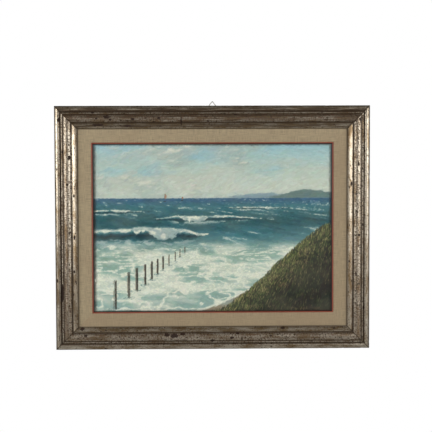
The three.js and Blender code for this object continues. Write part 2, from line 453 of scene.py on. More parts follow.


# %% [markdown]
# ## Wear on the moulding
#
# An old moulding like this has been bumped, wormed and rubbed. The chips go through leaf, bole
# and gesso into the wood, so they are real hollows in the mesh. Each is a soft-edged pit with
# an uneven rim, and the faces round it are subdivided first, to give it a shape. The largest
# ones are listed with their place along the rail, from the left or from the top, and
# many small ones are scattered by a seeded generator, most of them on the high parts.
#
# The attribute `chipped` keeps where the leaf is gone, and the leaf's material reads it.

# %% The chips
# side: (from the left or the top, inward, length, width, depth) in millimetres
LARGE_CHIPS = {
    "top": (
        (141, 30, 15, 8, 2.6), (150, 37, 7, 4, 1.2), (210, 36, 8, 5, 1.4),
        (280, 33, 6, 5, 1.2), (339, 42, 3, 22, 0.8), (484, 24, 8, 4, 1.3),
        (118, 51, 26, 5, 0.9), (196, 54, 18, 5, 0.8),
    ),
    "left": (
        (38, 12, 9, 6, 1.6), (123, 22, 7, 5, 1.3), (137, 41, 9, 5, 1.4),
        (210, 34, 6, 5, 1.2), (504, 18, 40, 6, 0.9), (468, 5, 8, 4, 1.1),
        (352, 52, 10, 4, 0.8),
    ),
    "right": (
        (38, 28, 8, 5, 1.3), (320, 19, 7, 5, 1.3), (348, 30, 6, 6, 2.0),
        (545, 17, 8, 5, 1.3), (210, 51, 12, 4, 0.9), (452, 38, 9, 4, 1.0),
    ),
    "bottom": (
        (298, 40, 12, 7, 1.5), (318, 38, 16, 9, 2.0), (340, 42, 10, 6, 1.2),
        (420, 24, 9, 6, 1.3), (473, 32, 9, 5, 1.4), (489, 43, 8, 5, 1.3),
        (610, 57, 9, 5, 1.2), (71, 57, 9, 7, 1.8), (80, 39, 8, 5, 1.2),
    ),
}
SMALL_CHIPS = 46  # on each rail
CRESTS = (6, 19, 30, 35, 40, 52, 55)  # the high places across the moulding, where they sit
CREST_SPREAD = 1.6
SMALLEST, SIZE_RANGE = 1.2, 2.6
CHIP_MARGIN = 6  # from a small chip to the mitre, at least
FINE_FROM, FINE_MARGIN = 24, 2.5  # the size of chip that gets finer faces, and how far round it


def chips_of(side):
    """Every chip of one rail, with its place along the rail as the rail was made."""
    length = side_length(side)
    spread = np.random.default_rng(20 + SIDES.index(side))
    chips = list(LARGE_CHIPS[side])
    for _ in range(SMALL_CHIPS):
        inward = spread.choice(CRESTS) + spread.normal(0, CREST_SPREAD)
        at = spread.uniform(inward + CHIP_MARGIN, length - inward - CHIP_MARGIN)
        size = SMALLEST + SIZE_RANGE * spread.random() ** 3
        chips.append((at, inward, size * spread.uniform(1, 2.4), size, 0.25 + 0.22 * size))
    flipped = side in ("bottom", "left")
    return [(length - at if flipped else at, *rest) for at, *rest in chips]


def refine_round(rail, chips, length):
    """Subdivides the faces round the larger chips."""
    place = positions(rail)
    near = np.zeros(len(place), bool)
    for at, inward, long, wide, _ in chips:
        if long * wide > FINE_FROM:
            apart = np.hypot(
                (place[:, 0] + length / 2 - at) / (long * 0.5 + FINE_MARGIN),
                (-place[:, 2] - inward) / (wide * 0.5 + FINE_MARGIN),
            )
            near |= apart < 1
    near &= -place[:, 1] > RABBET_CEILING + 1
    one, other = edge_ends(rail)
    select_edges(rail, near[one] & near[other])
    with editing():
        bpy.ops.mesh.subdivide(number_cuts=1)


print("chips on each rail:", {side: len(chips_of(side)) for side in SIDES})

# %% [markdown]
# ## Dark toning, painted shade and painted highlight
#
# The leaf has a dark toning, and the same layer carries painted shade and painted highlight,
# so the four rails differ. The top rail gets the most, as painted shade, with less on its
# upward outer edge, which is painted as lit. The bottom rail gets an even, lighter coat. The
# upright rails get painted shade over their lower halves and more of it near their upper ends,
# and where the layer falls below zero it is a painted highlight on some of their members.
#
# Each member has its band across the moulding: its middle, how far the band reaches to either
# side, how far it is at full strength, and that strength.

# %% Toning, painted shade and painted highlight
TONER_AND_SHADE_ON = {"right": 0.45, "bottom": 0.4, "left": 0.9}  # where the top rail has 1
RUBBED_EDGES = ((19.6, 2.2, 1.2, 0.8), (58.6, 2.4, 1.4, 0.6))  # thin fillet, sight edge
# bands of painted shade on the top rail
PAINTED_SHADE_ON_TOP = (
    (25.5, 7, 4, 1),  # the cove and the foot of the torus
    (55, 4.5, 2.5, 1),  # the inner member's crest
    (10.5, 5.5, 3, 1.4),  # the inner side of the outer bead
)
# bands of painted highlight on the upright rails, where the layer falls below zero
HIGHLIGHT_MEMBER = ((53.5, 6, 3.5, 0.55),)  # the inner member
HIGHLIGHT_TORUS = ((40.5, 8, 5, 1),)  # the torus's inner side
HIGHLIGHT_OUTSIDE = ((12.5, 6, 3, 0.7), (29, 9, 5, 0.45))  # the bead, the torus's outer side


def bands(inward, given):
    """The strongest of some bands across the moulding, at every point."""
    return np.max([strength * close_to(inward, *band) for *band, strength in given], axis=0)


def toning_shade_and_highlight(side, along, inward, length):
    """How much dark toning and painted shade lie on a rail. Below zero it is a painted highlight.
    """
    kept = 1 - sum(strength * close_to(inward, *band) for *band, strength in RUBBED_EDGES)
    if side == "top":
        # the upward outer edge is painted lighter, as lit
        lit_outer_edge = ease(inward, 6.5, 4)
        return kept * (1 + 0.8 * bands(inward, PAINTED_SHADE_ON_TOP) - 0.55 * lit_outer_edge)
    if side == "bottom":
        return kept * TONER_AND_SHADE_ON[side]
    down = (length - along if side == "left" else along) / length
    # painted shade, darker towards the bottom of the upright rails
    low_down = ease(down, 0.3, 0.85)
    # painted highlight on members of the upper halves
    if side == "left":
        painted_highlight_share = bands(inward, HIGHLIGHT_TORUS) * (1 - 0.4 * low_down)
    else:
        painted_highlight_share = bands(inward, HIGHLIGHT_OUTSIDE)
    painted_highlight_share = np.maximum(painted_highlight_share, bands(inward, HIGHLIGHT_MEMBER) * ease(down, 0.75, 0.45))
    # more darkening near the upper ends, and no painted highlight there
    at_corner = 0.5 * ease(down * length - inward, 45, 5)
    return kept * (TONER_AND_SHADE_ON[side] * low_down + at_corner) - painted_highlight_share * ease(at_corner, 0.4, 0.1)


# %% Pressing the wear in
SLOW_WAVE, FINE_WAVE = 0.08, 0.06  # how far the moulding's face is off a true line
NIBBLED = 1.6  # how deep the outer edge is worn in, at most
DIAGONAL = 1.414


def wear_down(rail, side):
    """Presses the chips and the moulding's slight waves into the rail."""
    length = side_length(side)
    chips = chips_of(side)
    refine_round(rail, chips, length)
    place = positions(rail)
    along, inward, height = place[:, 0] + length / 2, -place[:, 2], -place[:, 1]
    seed = 100 * SIDES.index(side)
    low = np.where(inward > RABBET_WALL - 0.5, RABBET_CEILING, RABBET_CEILING - 4)
    front = ease(height, low, low + 2)

    lowered = SLOW_WAVE * layered(along / 60, inward / 14, seed)
    lowered += FINE_WAVE * layered(along / 9, inward / 3, seed + 9)
    chipped = np.zeros(len(place))
    rim = layered(along / 3.2, inward / 2.4, seed + 30, layers=3)
    for at, middle, long, wide, depth in chips:
        apart = np.hypot((along - at) / (long / 2), (inward - middle) / (wide / 2)) + 0.42 * rim
        pit = ease(apart, 1.15, 0.5)
        lowered = np.maximum(lowered, lowered * (1 - pit) + depth * pit * (0.8 + 0.3 * rim))
        chipped = np.maximum(chipped, ease(apart, 1.4, 1.0))
    place[:, 1] += lowered * front

    edge = ease(inward, 5, 0) * ease(height, 8, 20)
    bites = np.maximum(0, layered(along / 9, height / 9, seed + 50) - 0.25)
    place[:, 2] -= edge * bites * NIBBLED
    put_positions(rail, place)
    put_attribute(rail, "along", along + 1000 * SIDES.index(side))
    put_attribute(rail, "height", height)
    put_attribute(rail, "chipped", chipped * front)
    put_attribute(rail, "toner_and_shade", toning_shade_and_highlight(side, along, inward, length))
    from_mitre = (length / 2 - inward - np.abs(place[:, 0])) / DIAGONAL
    put_attribute(rail, "joint", np.maximum(0, from_mitre))


# %% [markdown]
# ## Building a finish
#
# Every finish here is made from nodes. A few small helpers keep that readable. `add` makes a
# node and fills its sockets with numbers or links, `mix` lays one colour over another by a
# mask, `between` turns any number into a mask with a soft edge, and `weigh` adds several
# numbers up, each with its weight.

# %% Nodes
def fill(tree, socket, value):
    """Links a node's output to the socket, or sets the socket to that value."""
    if isinstance(value, bpy.types.NodeSocket):
        tree.links.new(value, socket)
    elif socket.type == "RGBA" and len(value) == 3:
        socket.default_value = (*value, 1)
    else:
        socket.default_value = value


def fill_named(tree, node, sockets):
    """Fills some of a node's sockets by their names, with _ for each space."""
    for name, value in sockets.items():
        fill(tree, node.inputs[name.replace("_", " ")], value)


def add(tree, kind, settings=None, **sockets):
    """A new node with its settings, and with its sockets filled."""
    node = tree.nodes.new(kind)
    for setting, value in (settings or {}).items():
        setattr(node, setting, value)
    fill_named(tree, node, sockets)
    return node


def new_finish(name):
    """A material and its tree, in which there is only the shader yet."""
    material = bpy.data.materials.new(name)
    material.use_nodes = True
    return material, material.node_tree


def set_shader(tree, **sockets):
    fill_named(tree, tree.nodes["Principled BSDF"], sockets)


# %% Numbers and masks
def sums(tree, operation, *values, kind="ShaderNodeMath"):
    """The result of one Math or Vector Math node."""
    node = add(tree, kind, {"operation": operation})
    for socket, value in zip(node.inputs, values):
        fill(tree, socket, value)
    return node.outputs[0]


def weigh(tree, *terms):
    """The sum of some numbers, given as (number, weight)."""
    parts = [n if weight == 1 else sums(tree, "MULTIPLY", n, weight) for n, weight in terms]
    return reduce(lambda total, part: sums(tree, "ADD", total, part), parts)


def most(tree, *values):
    """The largest of some numbers."""
    return reduce(lambda largest, value: sums(tree, "MAXIMUM", largest, value), values)


def between(tree, value, low, high, to_low=0.0, to_high=1.0):
    """to_low below low, to_high above high, with a smooth step between them."""
    node = add(tree, "ShaderNodeMapRange", {"interpolation_type": "SMOOTHSTEP"})
    for socket, number in zip(node.inputs, (value, low, high, to_low, to_high)):
        fill(tree, socket, number)
    return node.outputs[0]


def band(tree, value, rise, fall):
    """1 from the rise to the fall, each a pair of numbers that the band eases between."""
    return sums(tree, "MULTIPLY", between(tree, value, *rise), between(tree, value, *fall))


# %% Colours and normals
def mix(tree, share, under, over):
    """One colour over another by that share."""
    node = add(tree, "ShaderNodeMix", {"data_type": "RGBA"})
    for index, value in ((0, share), (6, under), (7, over)):
        fill(tree, node.inputs[index], value)
    return node.outputs[2]


def coats(tree, colour, *layers):
    """Colours laid over each other in that order, each given as (mask, colour)."""
    for mask, over in layers:
        colour = mix(tree, mask, colour, over)
    return colour


def bumped(tree, height, distance, strength=1.0, under=None):
    """A normal from a height from 0 to 1 that stands for that distance in metres."""
    node = add(tree, "ShaderNodeBump", Height=height, Distance=distance, Strength=strength)
    if under is not None:
        tree.links.new(under, node.inputs["Normal"])
    return node.outputs["Normal"]


# %% Places and noise
def attribute(tree, name):
    return add(tree, "ShaderNodeAttribute", {"attribute_name": name}).outputs["Fac"]


def measured(tree, *names):
    """A vector whose parts are these attributes of the piece."""
    parts = {axis: attribute(tree, name) for axis, name in zip("XYZ", names)}
    return add(tree, "ShaderNodeCombineXYZ", **parts).outputs[0]


def in_picture(tree):
    """The place in the plane of the picture, in metres: to the right and up."""
    place = add(tree, "ShaderNodeTexCoord").outputs["Object"]
    parts = add(tree, "ShaderNodeSeparateXYZ", Vector=place).outputs
    return add(tree, "ShaderNodeCombineXYZ", X=parts["X"], Y=parts["Z"]).outputs[0]


def scaled(tree, vector, scale):
    """A vector with each of its parts multiplied."""
    return sums(tree, "MULTIPLY", vector, scale, kind="ShaderNodeVectorMath")


def wandering(tree, place, scale, detail, reach):
    """The place moved about by noise, so that a pattern on it is bent."""
    noise_node = add(tree, "ShaderNodeTexNoise", Vector=place, Scale=scale, Detail=detail)
    moved = scaled(tree, noise_node.outputs["Color"], reach)
    return sums(tree, "ADD", place, moved, kind="ShaderNodeVectorMath")


def grain(tree, vector, scale, detail=3.0, roughness=0.55):
    """Noise from 0 to 1 on a stretched vector."""
    return add(
        tree, "ShaderNodeTexNoise", Vector=scaled(tree, vector, scale),
        Scale=1.0, Detail=detail, Roughness=roughness,
    ).outputs["Fac"]


# %% [markdown]
# ## Effects that several finishes share
#
# Dark specks and wood grain appear on more than one piece, so each is a node group with named
# inputs, built once and placed with other values.

# %% Making and placing a group
def new_group(name, inputs, outputs):
    """A node group: (group, its inputs, its outputs). An input without a value is a vector."""
    group = bpy.data.node_groups.new(name, "ShaderNodeTree")
    for label, value in inputs.items():
        kind = "NodeSocketVector" if value is None else "NodeSocketFloat"
        socket = group.interface.new_socket(label, in_out="INPUT", socket_type=kind)
        if value is not None:
            socket.default_value = value
    for label in outputs:
        group.interface.new_socket(label, in_out="OUTPUT", socket_type="NodeSocketFloat")
    given = group.nodes.new("NodeGroupInput").outputs
    return group, given, group.nodes.new("NodeGroupOutput").inputs


def use_group(tree, group, **sockets):
    return add(tree, "ShaderNodeGroup", {"node_tree": group}, **sockets).outputs


# %% Specks and wood grain
LARGEST_SPECK = 0.45  # of a cell
GRAIN_SIZE, FIBRE_SIZE = (2.2, 36, 36), (30, 900, 900)  # in 1/m, along and across the grain
RINGS = 50  # how closely the dark lines follow each other


def build_specks():
    """Round dark specks of uneven size: Amount is the share of cells that hold one."""
    inputs = {"Vector": None, "Scale": 300.0, "Amount": 0.3}
    group, given, out = new_group("specks", inputs, ["Mask"])
    cells = add(
        group, "ShaderNodeTexVoronoi", {"feature": "F1"},
        Vector=given["Vector"], Scale=given["Scale"],
    ).outputs
    pick = add(group, "ShaderNodeSeparateColor", Color=cells["Color"]).outputs
    size = sums(group, "MULTIPLY", pick[1], LARGEST_SPECK)
    inside = sums(group, "LESS_THAN", cells["Distance"], size)
    chosen = sums(group, "LESS_THAN", pick[0], given["Amount"])
    fill(group, out["Mask"], sums(group, "MULTIPLY", inside, chosen))
    return group


def build_wood():
    """Straight grain along the vector's first part, from 0 in the dark lines to 1."""
    group, given, out = new_group("wood_grain", {"Vector": None}, ["Grain", "Fibre"])
    bend = grain(group, given["Vector"], GRAIN_SIZE, detail=2)
    rings = sums(group, "SINE", sums(group, "MULTIPLY", bend, RINGS))
    fill(group, out["Grain"], between(group, rings, -1, 1))
    fill(group, out["Fibre"], grain(group, given["Vector"], FIBRE_SIZE, detail=2))
    return group


specks_group = build_specks()
wood_group = build_wood()
print("node groups:", specks_group.name, wood_group.name)

# %% [markdown]
# ## Aged silver leaf
#
# Real leaf like this is laid over a red-brown bole on white gesso. Then it is given a dark
# toning, rubbed through on the high edges, crackled with age, waxed brown in its grooves, and
# spattered with dark specks. So the finish is built up in the same order, and raw dark wood
# shows in the chips. The toning layer also holds painted shade, and a painted highlight where
# it falls below zero, and the wax layer holds painted shade along the sight edge. Only the leaf
# is metallic. A flat grey metal would miss all of that, and a painted picture of it would not
# catch the light.

# %% What the leaf's layers share
LEAF = (0.43, 0.38, 0.30)
LEAF_WARM = (0.165, 0.112, 0.058)
BOLE = (0.075, 0.038, 0.022)
WAX = (0.030, 0.017, 0.007)
CHIP_WOOD = (0.022, 0.011, 0.006)
# the colour of the dark toning and of the painted shade on the leaf
TONER_SHADE_COLOUR = (0.042, 0.028, 0.015)

# Bands across the moulding: where each one rises and where it falls
TORUS = (23, 29), (45, 40)
INNER_MEMBER = (46, 49), (59, 57)
OUTER_GROOVES = (11, 13), (26, 23)
INNER_GROOVE = (41.5, 43.5), (48, 46.5)
CRACKLED = (11, 13), (48, 46)


def leaf_patterns(tree):
    """The leaf's measures, noises and bands, by name."""
    place, inward = measured(tree, "along", "inward"), attribute(tree, "inward")
    # the attribute holds the toning and painted shade, and a painted highlight below zero
    toning_and_shade = attribute(tree, "toner_and_shade")
    return SimpleNamespace(
        place=place, inward=inward, toning_and_shade=toning_and_shade, clean=sums(tree, "MINIMUM", toning_and_shade, 0.0),
        streaks=grain(tree, place, (0.03, 1.0, 1), detail=4, roughness=0.65),
        lines=grain(tree, place, (0.012, 0.36, 1), detail=3),
        clouds=grain(tree, place, (0.02, 0.08, 1), detail=3),
        mottle=grain(tree, place, (0.20, 0.30, 1), detail=4, roughness=0.75),
        fine=grain(tree, place, (0.7, 1.0, 1), detail=3, roughness=0.7),
        torus=band(tree, inward, *TORUS),
        member=band(tree, inward, *INNER_MEMBER),
        grooves=most(tree, band(tree, inward, *OUTER_GROOVES), band(tree, inward, *INNER_GROOVE)),
    )


# %% The leaf's layers
def leaf_metal(tree, on):
    """The leaf's own colour, brighter and warmer in patches, and brighter under the painted
    highlight.
    """
    tone = weigh(
        tree, (on.mottle, 0.7), (on.clouds, 0.7), (on.streaks, 0.3),
        (on.clean, -0.12), (on.member, -0.055),
    )
    return mix(tree, between(tree, tone, 0.70, 0.95), LEAF_WARM, LEAF)


def leaf_toning_and_shade(tree, on):
    """Where the dark toning and the painted shade lie, in uneven lengthwise lines."""
    uneven = between(tree, weigh(tree, (on.mottle, 0.5), (on.lines, 1)), 0.55, 0.95, 0.1, 0.95)
    return sums(tree, "MULTIPLY", on.toning_and_shade, uneven)


def leaf_rubbed(tree, on):
    """Where the leaf is rubbed through to the bole, less so under the painted highlight."""
    worn = weigh(tree, (on.mottle, 0.6), (on.streaks, 0.35), (on.torus, 0.05), (on.clean, 0.08))
    return between(tree, worn, 0.53, 0.66)


def leaf_cracked(tree, on):
    """Short cracks across the moulding's middle."""
    crackle = grain(tree, on.place, (0.34, 0.14, 1), detail=2, roughness=0.6)
    cracks = between(tree, crackle, 0.51, 0.60, 0, 0.8)
    return sums(tree, "MULTIPLY", band(tree, on.inward, *CRACKLED), cracks)


def leaf_waxed(tree, on):
    """Brown wax and dirt in hollows and at the mitres, and painted shade along the sight edge."""
    deep = between(tree, attribute(tree, "hollow"), -0.1, 1.0)
    at_mitre = between(tree, attribute(tree, "joint"), 2.2, 0.0)
    # the band along the sight edge is painted shade, not wax
    corner = most(tree, at_mitre, between(tree, on.inward, FACE - 1.9, FACE - 0.6))
    patchy = sums(tree, "MULTIPLY", sums(tree, "SUBTRACT", on.mottle, 0.5), 1.2)
    grimy = weigh(
        tree, (deep, 0.5), (on.streaks, 0.3), (on.lines, 0.3), (on.mottle, 0.3),
        (corner, 0.5), (on.clean, 0.25), (sums(tree, "MULTIPLY", patchy, on.grooves), 1),
    )
    return between(tree, grimy, 0.52, 0.78)


def leaf_specked(tree, on):
    """Small and large specks, crowded on the torus and in the grooves."""
    ragged = wandering(tree, on.place, 0.45, 2.0, (5.0, 3.0, 0))
    crowd = weigh(tree, (on.clouds, 1), (on.torus, 0.2), (on.grooves, 0.2), (on.member, -0.08))
    small = use_group(
        tree, specks_group, Vector=ragged, Scale=0.36,
        Amount=between(tree, crowd, 0.36, 0.7, 0.08, 0.85),
    )["Mask"]
    large = use_group(
        tree, specks_group, Vector=scaled(tree, ragged, (0.75, 1, 1)), Scale=0.17,
        Amount=between(tree, crowd, 0.54, 0.86, 0.03, 0.75),
    )["Mask"]
    return most(tree, small, large)


# %% The leaf's finish
def silver_leaf():
    material, tree = new_finish("silver_leaf")
    on = leaf_patterns(tree)
    toner_and_shade, rubbed, cracked = leaf_toning_and_shade(tree, on), leaf_rubbed(tree, on), leaf_cracked(tree, on)
    waxed, specked = leaf_waxed(tree, on), leaf_specked(tree, on)
    chipped = attribute(tree, "chipped")

    colour = coats(
        tree, leaf_metal(tree, on), (toner_and_shade, TONER_SHADE_COLOUR), (weigh(tree, (rubbed, 0.75)), BOLE),
        (cracked, BOLE), (weigh(tree, (waxed, 0.88)), WAX), (weigh(tree, (specked, 0.93)), WAX),
        (between(tree, chipped, 0.25, 0.6), CHIP_WOOD),
    )
    bare = most(
        tree, weigh(tree, (rubbed, 0.8)), specked, cracked, weigh(tree, (toner_and_shade, 0.8)),
        weigh(tree, (waxed, 0.75)), between(tree, chipped, 0.2, 0.5),
    )
    pits = weigh(tree, (on.streaks, 0.25), (specked, -0.7), (on.mottle, 0.5))
    normal = bumped(tree, pits, 0.0006, 0.8)
    set_shader(
        tree, Base_Color=colour, Specular_IOR_Level=0.2,
        Metallic=between(tree, bare, 0, 1, 0.85, 0.0),
        Roughness=between(tree, sums(tree, "ADD", bare, on.fine), 0.3, 1.6, 0.36, 0.60),
        Normal=bumped(tree, on.fine, 0.00025, 0.5, under=normal),
    )
    return material


leaf_finish = silver_leaf()
print(len(leaf_finish.node_tree.nodes), "nodes in the silver leaf")


# %% Old wood
def old_wood(name, light, dark):
    """Planed softwood that has gone brown behind the frame."""
    material, tree = new_finish(name)
    place = measured(tree, "along", "inward", "height")
    wood = use_group(tree, wood_group, Vector=scaled(tree, place, (MM, MM, MM)))
    stain = grain(tree, place, (0.005, 0.03, 0.03), detail=4)
    stained = tuple(v * 0.5 for v in dark)
    colour = coats(
        tree, dark, (wood["Grain"], light), (between(tree, stain, 0.35, 0.75, 0, 0.45), stained),
        (between(tree, wood["Fibre"], 0.35, 0.7, 0, 0.35), dark),
    )
    normal = bumped(tree, wood["Fibre"], 0.0003, 0.6)
    set_shader(tree, Base_Color=colour, Roughness=0.82, Normal=normal)
    return material


back_finish = old_wood("moulding_back", (0.30, 0.19, 0.11), (0.17, 0.10, 0.055))
print(len(back_finish.node_tree.nodes), "nodes in the bare wood")

# %% [markdown]
# ## The four rails
#
# Each rail is made, worn, given its two finishes and set on its side of the frame. The leaf
# covers what shows from the front and the outer edge. The back and the rabbet are bare wood,
# which is chosen by each face's place in the section.

# %% Making the rails
LEAF_FROM = 4  # the leaf stops this far in front of the rails' backs, unevenly


def finish_faces(piece, finishes, choose):
    """Gives the piece its finishes, and each face the one that choose returns for its middle."""
    for finish in finishes:
        piece.data.materials.append(finish)
    middles = np.empty(len(piece.data.polygons) * 3, np.float32)
    piece.data.polygons.foreach_get("center", middles)
    middles = middles.reshape(-1, 3)
    piece.data.polygons.foreach_set("material_index", choose(middles).astype(np.int32))


def smooth(piece, degrees=38):
    start_alone(piece)
    bpy.ops.object.shade_smooth_by_angle(angle=math.radians(degrees))


def hand_over(piece, node=None):
    """Fixes a piece to the frame's one body, and hides the solid that it takes the place of."""
    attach(piece, "root")
    if node:
        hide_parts(node)


# %% The moulding's rails
def bare_side(middles):
    inward, height = -middles[:, 2], -middles[:, 1]
    ragged = LEAF_FROM + 3 * noise(middles[:, 0] / 20, middles[:, 0] * 0, 4)
    behind = (height < RABBET_CEILING + 0.3) & (inward > RABBET_WALL - 0.3)
    return behind | (height < ragged)


def make_frame_rail(side):
    rail = make_rail(f"moulding_{side}", MOULDING, side_length(side), cuts=(17, 15))
    wear_down(rail, side)
    finish_faces(rail, (leaf_finish, back_finish), bare_side)
    smooth(rail)
    set_in_frame(rail, side)
    hand_over(rail, f"frame_{side}")
    return rail


for side in SIDES:
    rail = make_frame_rail(side)
    print(rail.name, len(rail.data.polygons), "faces")

# %% [markdown]
# ## The linen slip
#
# The slip is a flat board with cloth glued over it, so its edges are soft and its face is not
# quite flat. It is made like the moulding, from its outline. The weave is too fine for a mesh:
# a node group draws it, one thread over and one under, and long thick-and-thin slubs along
# both threads give natural linen its look from a step away.

# %% Weave
SLUB_LONG, SLUB_WIDE = 0.035, 0.8  # a slub's noise along a thread and across it


def build_weave():
    """Plain weave on a vector in thread widths: Height of the threads, and Slub."""
    group, given, out = new_group("weave", {"Vector": None}, ["Height", "Slub"])
    parts = add(group, "ShaderNodeSeparateXYZ", Vector=given["Vector"]).outputs
    ridges, cells = [], []
    for part in (parts[0], parts[1]):
        wave = sums(group, "SINE", sums(group, "MULTIPLY", part, math.pi))
        ridges.append(sums(group, "ABSOLUTE", wave))
        cells.append(sums(group, "FLOOR", part))
    odd = sums(group, "ABSOLUTE", sums(group, "MODULO", sums(group, "ADD", *cells), 2.0))
    over = sums(group, "MULTIPLY", ridges[0], odd)
    under = sums(group, "MULTIPLY", ridges[1], sums(group, "SUBTRACT", 1.0, odd))
    fill(group, out["Height"], sums(group, "ADD", over, under))
    lengthwise = grain(group, given["Vector"], (SLUB_LONG, SLUB_WIDE, 1), detail=2)
    crosswise = grain(group, given["Vector"], (SLUB_WIDE, SLUB_LONG, 1), detail=2)
    both = sums(group, "ADD", lengthwise, crosswise)
    fill(group, out["Slub"], sums(group, "MULTIPLY", both, 0.5))
    return group


weave_group = build_weave()
print("node group:", weave_group.name)

# %% The linen
LINEN = (0.383, 0.303, 0.178)
LINEN_DARK = (0.235, 0.185, 0.115)
LINEN_BROWN_AND_SHADE = (0.27, 0.195, 0.115)
FOX_SPOT = (0.14, 0.09, 0.05)
# painted shadow of the moulding on the linen, along the sight edge
SIGHT_EDGE_SHADOW = (0.11, 0.085, 0.055)  # along the moulding
LINEN_PITCH = 0.95  # from thread to thread, in millimetres
# painted shade: the slip's right and bottom rails are painted browner and darker
LINEN_SIDE_SHADE = {"top": 0.0, "right": 0.3, "bottom": 0.4, "left": 0.0}  # how much browner it is


def linen_finish():
    material, tree = new_finish("linen")
    place = measured(tree, "along", "inward")
    bent = wandering(tree, place, 0.05, 1.0, (1.2, 1.2, 0))
    in_threads = scaled(tree, bent, (1 / LINEN_PITCH, 1 / LINEN_PITCH, 1))
    threads = use_group(tree, weave_group, Vector=in_threads)
    age = grain(tree, place, (0.011, 0.018, 1), detail=4)
    # random ageing, plus each side's painted shade from the age attribute
    brown = sums(tree, "ADD", between(tree, age, 0.42, 0.72, 0, 0.3), attribute(tree, "age"))
    fox = use_group(tree, specks_group, Vector=place, Scale=0.12, Amount=0.02)["Mask"]
    # painted shadow of the moulding on the linen next to its sight edge
    edge = between(tree, attribute(tree, "inward"), FACE + 3.2, FACE + 0.4, 0, 0.8)
    # the low parts of the weave are painted darker, as shade between the threads
    colour = coats(
        tree, LINEN_DARK, (between(tree, threads["Slub"], 0.36, 0.64), LINEN),
        (between(tree, threads["Height"], 0.75, 0.1, 0, 0.45), LINEN_DARK),
        (brown, LINEN_BROWN_AND_SHADE), (weigh(tree, (fox, 0.22)), FOX_SPOT), (edge, SIGHT_EDGE_SHADOW),
    )
    raised = sums(tree, "ADD", threads["Height"], threads["Slub"])
    set_shader(
        tree, Base_Color=colour, Roughness=0.92, Sheen_Weight=0.15, Sheen_Roughness=0.5,
        Normal=bumped(tree, raised, 0.00035, 0.7),
    )
    return material


linen = linen_finish()
wood_behind = old_wood("slip_back", (0.42, 0.30, 0.18), (0.27, 0.18, 0.10))
print(len(linen.node_tree.nodes), "nodes in the linen")

# %% The slip's four rails
SLIP_OUTER, SLIP_INNER, SLIP_BACK, SLIP_FACE = section_of("liner_top")
CANVAS_WALL = CANVAS_EDGE - 0.5
CANVAS_SEAT = CANVAS_FRONT + 0.3
SLIP = outline((
    (SLIP_OUTER, SLIP_BACK),
    (SLIP_OUTER, SLIP_FACE - 1.2),
    (SLIP_OUTER + 1.2, SLIP_FACE, 0.3),
    (SLIP_INNER - 1.5, SLIP_FACE),
    (SLIP_INNER, SLIP_FACE - 1.5, 0.4),
    (SLIP_INNER, CANVAS_SEAT),
    (CANVAS_WALL, CANVAS_SEAT),
    (CANVAS_WALL, SLIP_BACK),
), step=1.6)
WAVES, SUNK_MITRE = 0.12, 0.35  # the face's slight waves, and how far its mitres are sunk


def mark(rail, side):
    """Gives a rail the attributes that its finishes read."""
    place = positions(rail)
    put_attribute(rail, "along", place[:, 0] + side_length(side) / 2 + 1000 * SIDES.index(side))
    put_attribute(rail, "height", -place[:, 1])


def no_linen(middles):
    inward, height = -middles[:, 2], -middles[:, 1]
    return (height < SLIP_BACK + 0.5) | (inward < SLIP_OUTER)


def make_slip_rail(side):
    rail = make_rail(f"linen_slip_{side}", SLIP, side_length(side), cuts=(11, 5))
    mark(rail, side)
    place = positions(rail)
    face = ease(-place[:, 1], SLIP_FACE - 1.5, SLIP_FACE - 0.5)
    seed = 300 + SIDES.index(side)
    place[:, 1] += face * WAVES * (1 + layered(place[:, 0] / 70, place[:, 2] / 25, seed))
    from_end = side_length(side) / 2 + place[:, 2] - np.abs(place[:, 0])
    place[:, 1] += face * SUNK_MITRE * ease(from_end, 1.6, 0)
    put_positions(rail, place)
    # each side's painted shade, kept in the age attribute
    put_attribute(rail, "age", np.full(len(place), LINEN_SIDE_SHADE[side]))
    finish_faces(rail, (linen, wood_behind), no_linen)
    smooth(rail, 50)
    set_in_frame(rail, side)
    hand_over(rail, f"liner_{side}")


for side in SIDES:
    make_slip_rail(side)
print("slip face", round(SLIP_FACE, 2), "mm in front of the rails' backs")

# %% [markdown]
# ## The red fillet
#
# A small moulding is glued along the slip's inner edge. Its thin crest is rubbed pale, and its
# face falls to the canvas in dull red-brown paint. Its innermost strip is painted nearly
# black, as shade next to the canvas.

# %% The fillet's paint
FILLET_OUTER, FILLET_INNER, _, _ = section_of("fillet_top")
RED = (0.22, 0.026, 0.012)
# dark patches of the red paint, and also the painted shade at the fillet's inner edge
RED_DARK_AND_SHADE = (0.020, 0.008, 0.006)
RED_RUBBED = (0.28, 0.062, 0.032)


def fillet_finish():
    material, tree = new_finish("red_fillet")
    inward, height = attribute(tree, "inward"), attribute(tree, "height")
    place = measured(tree, "along", "inward")
    uneven = grain(tree, place, (0.09, 1.1, 1), detail=4, roughness=0.7)
    crest = between(tree, sums(tree, "ADD", height, uneven), SLIP_FACE - 0.9, SLIP_FACE + 0.5)
    # painted shade: the innermost strip, next to the canvas, is nearly black
    low = between(tree, inward, FILLET_INNER - 2.8, FILLET_INNER - 1.6)
    colour = coats(
        tree, RED_DARK_AND_SHADE, (between(tree, uneven, 0.3, 0.7), RED), (crest, RED_RUBBED),
        (low, RED_DARK_AND_SHADE),
    )
    set_shader(
        tree, Base_Color=colour,
        Roughness=between(tree, uneven, 0.2, 0.8, 0.38, 0.62),
        Normal=bumped(tree, uneven, 0.0002, 0.5),
    )
    return material


red = fillet_finish()
print(len(red.node_tree.nodes), "nodes in the fillet's paint")


